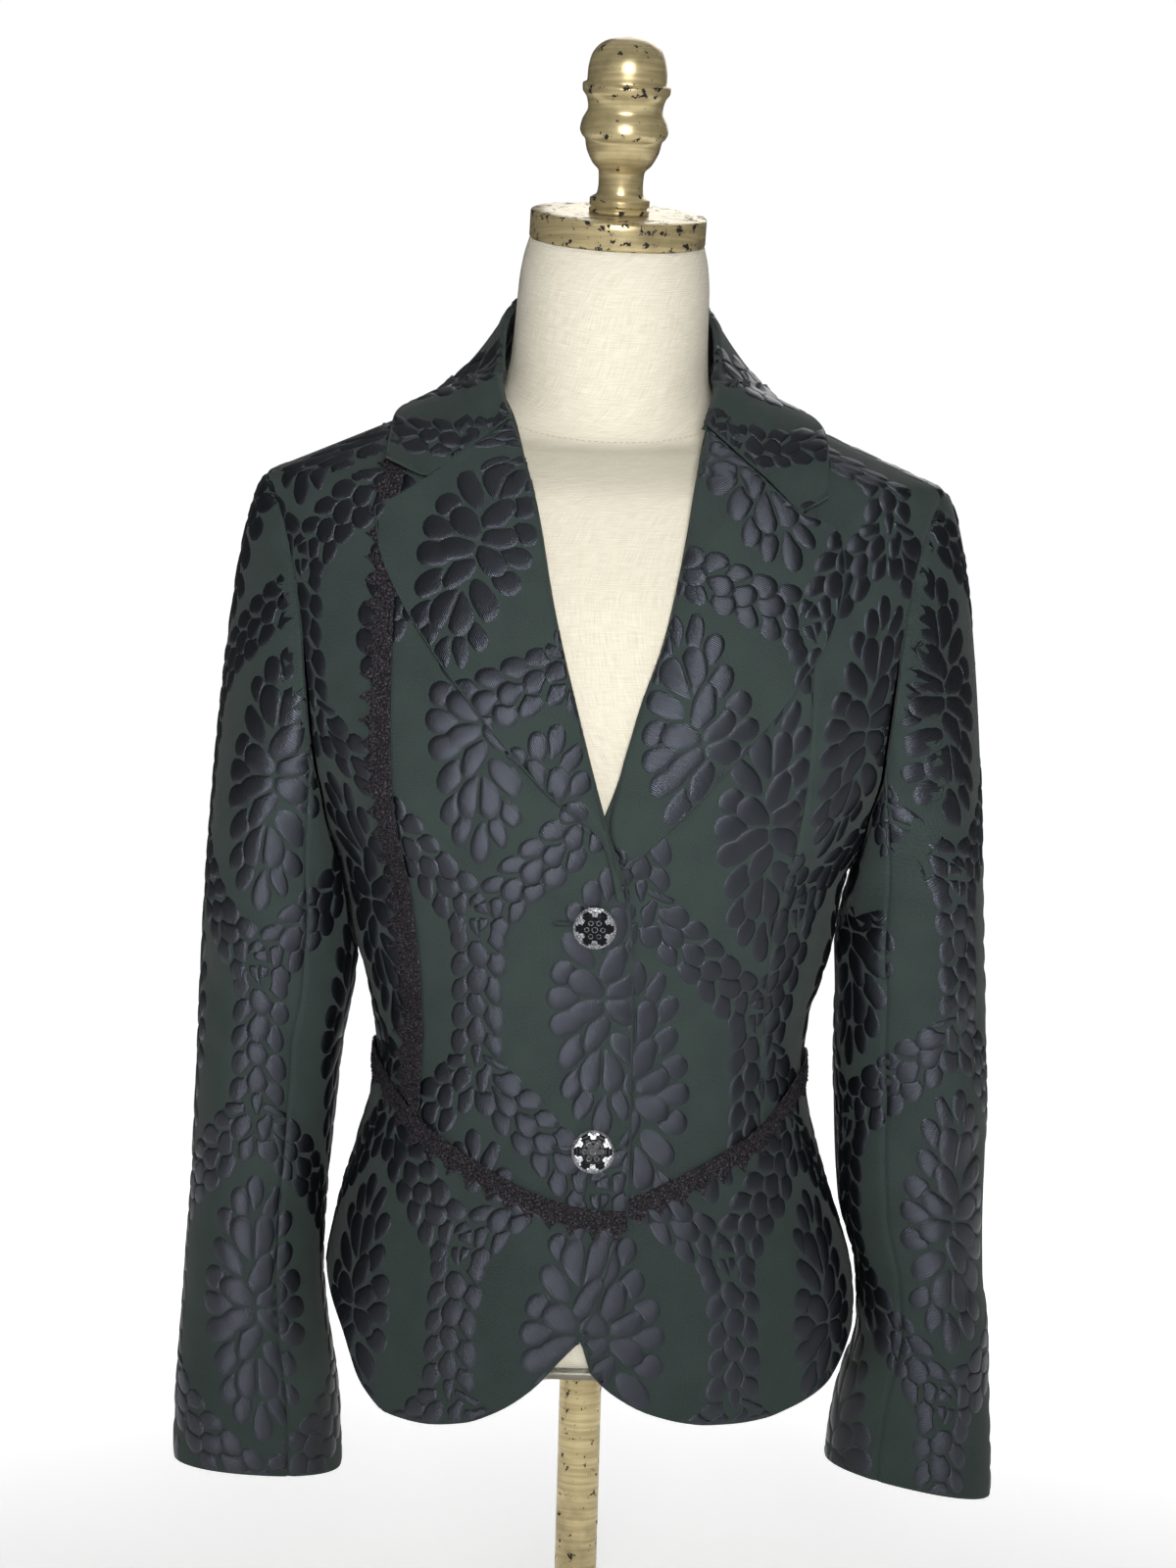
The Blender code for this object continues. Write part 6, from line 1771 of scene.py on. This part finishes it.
def ringed(name, rings, finish_name, sharp=None, wear=None):
    """A closed solid through rings of points, with its flat places and its wear."""
    rings = np.asarray(rings)
    rows, count = rings.shape[:2]
    closed = np.concatenate([rings, rings[:, :1]], 1)
    around = np.linalg.norm(np.diff(closed, axis=1), axis=-1)
    lengths = np.concatenate([np.zeros((rows, 1)), np.cumsum(around, axis=1)], 1)
    climb = np.append(0.0, np.cumsum(np.linalg.norm(np.diff(rings[:, 0], axis=0), axis=-1)))
    index = np.arange(rows * count).reshape(rows, count)
    beside = np.roll(index, -1, axis=1)
    faces = np.stack([index[:-1], beside[:-1], beside[1:], index[1:]], -1).reshape(-1, 4)
    face_list = faces.tolist() + [index[0][::-1].tolist(), index[-1].tolist()]
    piece = make(name, rings.reshape(-1, 3), face_list, [finish(finish_name)], sharp=sharp)
    mesh = piece.data
    layer = mesh.uv_layers.new(name="cloth")
    corners = np.empty(len(mesh.loops), int)
    mesh.loops.foreach_get("vertex_index", corners)
    row, entry = corners // count, corners % count
    u = lengths[row, entry]
    # The last quad of a ring ends at the full length and not back at the start.
    starts = np.zeros(len(mesh.polygons), int)
    mesh.polygons.foreach_get("loop_start", starts)
    for k in range(rows - 1):
        first = starts[k * count + count - 1]
        for corner in range(first, first + 4):
            if entry[corner] == 0:
                u[corner] = lengths[row[corner], -1]
    layer.data.foreach_set("uv", np.stack([u, climb[row]], -1).astype(np.float32).ravel())
    if wear is not None:
        attribute = mesh.attributes.new("wear", "FLOAT", "POINT")
        attribute.data.foreach_set("value", np.repeat(wear, count).astype(np.float32))
    return piece


def add_form():
    rings = []
    leaning = SEAM_LEAN * np.sin(np.linspace(0, 2 * math.pi, FORM_SIDES, endpoint=False))
    rim = form_ring(FORM_BOTTOM + FORM_EDGE)
    for share, rounding in FORM_FLOOR:
        height = form_floor(rim[:, 0] * share) + FORM_EDGE * rounding
        rings.append(np.stack([rim[:, 0] * share, rim[:, 1] * share, height], -1))
    knots = []
    for height in np.concatenate([np.arange(0.225, 0.700, 0.0125), SHOULDER_HEIGHTS]):
        ring = form_ring(height)
        ring[:, 2] += leaning * np.clip((height - 0.715) / 0.047, 0.0, 1.0)
        knots.append(ring)
    under_cap = CAP_TOP - NECK_AXIS * (CAP_HEIGHT + JOINT_GAP)
    neck_length = FORM_NECK[0][0]
    for down, radius in FORM_NECK:
        ring = turned_ring(under_cap - NECK_AXIS * down, NECK_AXIS, radius, FORM_SIDES)
        ring[:, 2] += leaning * (down / neck_length) ** 1.5
        knots.append(ring)
    knots = np.array(knots)
    coarse = len(knots) - NECK_KNOTS
    fine = np.concatenate([np.arange(coarse), np.arange(coarse, len(knots) - 0.99, 0.25)])
    at = np.arange(len(knots))
    smooth = np.stack([[smooth_curve(at, knots[:, k, axis], fine) for axis in range(3)]
                       for k in range(FORM_SIDES)]).transpose(2, 0, 1)
    for _ in range(24):       # the neck runs softly out into the chest
        smooth[-54:-8] += (smooth[-55:-9] + smooth[-53:-7] - 2 * smooth[-54:-8]) / 4
    rings += list(smooth)
    fitted(ringed("linen_form", rings, "cream_linen"), "linen", "form_torso")
    seam = smooth[np.argmin(np.abs(fine - (len(knots) - len(FORM_NECK))))]
    outward = unit(seam - (under_cap - NECK_AXIS * neck_length))
    seam = seam + outward * 0.0002
    stitches = beads("neck_stitches", [np.concatenate([seam, seam[:1]])], 0.0036,
                     (0.00125, 0.00030, 0.00030), "linen_thread")


def turned(name, node, profile, base, axis, sides, sharp=35):
    """A turned piece: its profile is (radius, height) and its edges wear most."""
    profile = np.array(profile)
    fine = []
    for k, (a, b) in enumerate(zip(profile, profile[1:])):
        steps = min(4, max(1, int(np.linalg.norm(b - a) / 0.0012)))
        fine += [a + (b - a) * t for t in np.linspace(0, 1, steps, endpoint=False)]
    fine = np.array(fine + [profile[-1]])
    if sharp > 50:            # a softly turned outline instead of straight runs
        places = np.arange(len(profile))
        at = np.linspace(0, len(profile) - 1, 4 * len(profile))
        fine = np.stack([smooth_curve(places, profile[:, k], at) for k in range(2)], -1)
    runs = np.diff(fine, axis=0)
    headings = np.unwrap(np.arctan2(runs[:, 1], runs[:, 0]))
    bend = np.zeros(len(fine))
    bend[1:-1] = np.maximum(np.diff(headings), 0.0)       # outer corners only
    wear = np.convolve(np.minimum(bend / 0.5, 1.0), (0.3, 0.7, 1.0, 0.7, 0.3), "same") ** 2
    rings = [turned_ring(base + axis * rise, axis, radius, sides) for radius, rise in fine]
    fitted(ringed(name, rings, "gold_leaf_paint", sharp, np.minimum(wear, 1.0)),
           "antique_gold", node)


CENTRE = 0.0001           # radius at which a turned piece closes
CAP_EDGE = 0.0012         # radius of the cap's edges


def add_metalwork():
    nearly = 0.35 * CAP_EDGE  # half way round an edge
    half = ((CAP_RADIUS - CAP_EDGE, 0.0), (CAP_RADIUS - nearly, nearly),
            (CAP_RADIUS, CAP_EDGE))
    cap = ((CENTRE, 0.0), *half, *((radius, CAP_HEIGHT - rise) for radius, rise in half[::-1]),
           (CENTRE, CAP_HEIGHT))
    turned("gold_cap", "neck_cap", cap, CAP_TOP - NECK_AXIS * CAP_HEIGHT, NECK_AXIS, 128)
    turned("gold_finial", "finial", ((CENTRE, JOINT_GAP), *FINIAL), CAP_TOP, NECK_AXIS, 96, 60)
    up = np.array((0.0, 0.0, 1.0))
    length = float(form_floor(0.0)) - BASE_HEIGHT - 2 * JOINT_GAP
    pole = ((CENTRE, 0.0), (POLE_RADIUS, 0.0), (POLE_RADIUS, length), (CENTRE, length))
    turned("gold_pole", "stand_pole", pole, up * (BASE_HEIGHT + JOINT_GAP), up, 64)
    moulding = ((0.003, 0.0), (0.0008, 0.001), (0.0, 0.003), (0.0, 0.010), (0.0015, 0.0128),
                (0.006, 0.016), (0.022, 0.0195))
    base = ((CENTRE, 0.0), *((BASE_RADIUS - inward, rise) for inward, rise in moulding),
            (0.030, BASE_HEIGHT), (CENTRE, BASE_HEIGHT))
    turned("gold_base", "stand_base", base, up * 0.0, up, 160)


# ---- stage -----------------------------------------------------------------------------
FLOOR_SIDES, FLOOR_RADIUS, FLOOR_HEIGHT = 96, 1.7, -0.0002
LIGHTS = (                # name, place, size, watts, spread in degrees
    ("key", (0.12, -2.30, 1.00), 0.8, 2.95, 36),
    ("fill", (-1.7, -2.4, 1.3), 1.4, 2.0, 180),
    ("top", (0.0, -0.1, 2.9), 3.4, 11.0, 180),
    ("rear", (0.6, 2.6, 2.0), 1.6, 20.0, 180),
)
LIT_PLACE = (0.0, 0.0, 0.66)
# The camera: its lens in mm, distance, degrees above level and of roll, and what it aims at.
LENS, CAMERA_DISTANCE, CAMERA_LIFT, CAMERA_ROLL = 82.2, 2.1, 5, 1.6
AIM = (-0.0055, 0.0, 0.55)


def add_stage():
    """Pale paper floor, soft studio lights and the camera at the photograph's angle."""
    scene = bpy.context.scene
    scene.view_settings.view_transform = "Standard"
    turn = np.linspace(0, 2 * math.pi, FLOOR_SIDES, endpoint=False)
    rim = np.stack([FLOOR_RADIUS * np.cos(turn), FLOOR_RADIUS * np.sin(turn),
                    np.full(FLOOR_SIDES, FLOOR_HEIGHT)], -1)
    floor = make("paper_floor", np.concatenate([[(0.0, 0.0, FLOOR_HEIGHT)], rim]),
                 [(0, k + 1, (k + 1) % FLOOR_SIDES + 1) for k in range(FLOOR_SIDES)],
                 [finish("paper_with_painted_glow")])
    world = bpy.data.worlds.new("studio")
    scene.world = world
    world.use_nodes = True
    tree = world.node_tree
    # The white surround is bright to look at and lights the cloth only a little, as a
    # far wall would.
    seen = add(tree, "LightPath", out="Is Camera Ray")
    feed(tree, tree.nodes["Background"], {
        "Color": rgba("#ffffff"),
        "Strength": add(tree, "MapRange", {"Value": seen, 3: 0.06, 4: 1.02})})
    for name, place, size, power, spread in LIGHTS:
        data = bpy.data.lights.new(name, "AREA")
        data.size = size
        data.energy = power
        data.spread = math.radians(spread)
        light = bpy.data.objects.new(name, data)
        light.location = place
        light.rotation_mode = "QUATERNION"
        light.rotation_quaternion = (
            Vector(LIT_PLACE) - Vector(place)).to_track_quat("-Z", "Y")
        scene.collection.objects.link(light)
    data = bpy.data.cameras.new("camera")
    data.lens = LENS
    data.sensor_width = 36.0
    camera = bpy.data.objects.new("camera", data)
    tilt = math.radians(CAMERA_LIFT)
    back = Vector((0.0, -math.cos(tilt), math.sin(tilt)))
    camera.location = Vector(AIM) + back * CAMERA_DISTANCE
    camera.rotation_mode = "QUATERNION"
    camera.rotation_quaternion = ((-back).to_track_quat("-Z", "Y")
                                  @ Quaternion((0.0, 0.0, 1.0), math.radians(CAMERA_ROLL)))
    scene.collection.objects.link(camera)
    scene.camera = camera


# ---- add-on ----------------------------------------------------------------------------
def size_of(name, description, default):
    return bpy.props.FloatProperty(name=name, description=description, default=default,
                                   min=0.0, precision=5, unit="LENGTH")


class JacketSizes(bpy.types.PropertyGroup):
    """Sizes of the jacket's cloth and trimmings."""
    thickness: size_of("Cloth thickness", "Thickness of the jacquard", 0.0016)
    seam_depth: size_of("Seam depth", "How far the cloth dips along a pressed seam", 0.0008)
    figure_height: size_of("Figure height", "How far the woven petals stand up", 0.00085)
    figure_gap: size_of("Figure gap", "Line of ground between two petals", 0.00040)
    repeat_width: size_of("Repeat width", "Width of one repeat of the figure", 0.145)
    repeat_height: size_of("Repeat height", "Height of one repeat of the figure", 0.310)
    lace_width: size_of("Lace width", "Width of the lace to its points", 0.0165)
    loop_radius: size_of("Loop radius", "Radius of the lace's thread loops", 0.00095)
    thread_radius: size_of("Thread radius", "Radius of the lace's thread", 0.00028)
    loop_spacing: size_of("Loop spacing", "Least distance between two loops", 0.00150)
    button_radius: size_of("Button radius", "Radius of a button", 0.0120)


def tone_of(name, description, default):
    return bpy.props.FloatVectorProperty(name=name, description=description, size=3,
                                         subtype="COLOR", min=0.0, max=1.0,
                                         default=linear(default))


class JacketColours(bpy.types.PropertyGroup):
    """Main colours of the jacket and its form."""
    ground_dark: tone_of("Ground, dark", "The ground weave in its hollows", "#252e2c")
    ground_light: tone_of("Ground, light", "The ground weave in its main tone", "#2f3a37")
    petal_dark: tone_of("Petals, dark", "The satin petals between their ribs", "#050607")
    petal_light: tone_of("Petals, light", "The satin petals on their ribs", "#0b0d0f")
    # The light lace tone is a painted highlight on the raised knots; the dark tone is the
    # thread's own colour and also serves as painted shade between them.
    lace_dark: tone_of("Lace, dark", "The lace between its knots", "#0b0a0c")
    lace_knot_highlight: tone_of("Lace, light", "The lace on its knots", "#2b272b")
    linen_dark: tone_of("Linen, dark", "The form's linen between its slubs", "#dad2bd")
    linen_light: tone_of("Linen, light", "The form's linen on its slubs", "#f1ebd9")
    gold_dark: tone_of("Gold, dark", "The gold paint where the brush left little", "#b3a175")
    gold_light: tone_of("Gold, light", "The gold paint where it lies thick", "#dccb9c")


def piece_operator(name, label, description, build):
    """An operator class that builds one group of pieces."""
    def execute(self, context):
        build()
        return {"FINISHED"}
    return type("JACKET_OT_" + name, (bpy.types.Operator,), {
        "bl_idname": "jacket." + name, "bl_label": label, "__doc__": description,
        "bl_options": {"REGISTER", "UNDO"}, "execute": execute})


OPERATORS = [piece_operator(*row) for row in (
    ("stage", "Stage", "Paper sweep, lights and camera", add_stage),
    ("form", "Dress form", "The linen torso with its neck seam", add_form),
    ("metalwork", "Cap, finial and stand", "The gold-painted turned pieces", add_metalwork),
    ("body_panels", "Body panels", "Fronts, side fronts, backs and peplum", add_body_panels),
    ("lapels", "Lapels", "The turned-back tops of the fronts", add_lapels),
    ("collar", "Collar", "The collar's fall, fold and stand", add_collar),
    ("sleeves", "Sleeves", "The two-piece sleeves", add_sleeves),
    ("laces", "Lace trims", "Pointed lace with its thread loops", add_laces),
    ("buttons", "Buttons", "Rosette buttons with corded buttonholes", add_buttons),
)]


class JACKET_PT_pieces(bpy.types.Panel):
    """Lists the pieces, their sizes and their colours."""
    bl_label = "Jacquard jacket"
    bl_idname = "JACKET_PT_pieces"
    bl_space_type = "VIEW_3D"
    bl_region_type = "UI"
    bl_category = "Jacket"

    def draw(self, context):
        for operator in OPERATORS:
            self.layout.operator(operator.bl_idname)
        for group, kind in ((context.scene.jacket_sizes, JacketSizes),
                            (context.scene.jacket_colours, JacketColours)):
            for name in kind.__annotations__:
                self.layout.prop(group, name)


CLASSES = [JacketSizes, JacketColours, *OPERATORS, JACKET_PT_pieces]


def register():
    for item in CLASSES:
        bpy.utils.register_class(item)
    bpy.types.Scene.jacket_sizes = bpy.props.PointerProperty(type=JacketSizes)
    bpy.types.Scene.jacket_colours = bpy.props.PointerProperty(type=JacketColours)


def unregister():
    del bpy.types.Scene.jacket_sizes
    del bpy.types.Scene.jacket_colours
    for item in reversed(CLASSES):
        bpy.utils.unregister_class(item)


def main():
    register()
    for operator in OPERATORS:
        getattr(bpy.ops.jacket, operator.bl_idname.split(".")[1])()


if __name__ == "__main__":
    main()
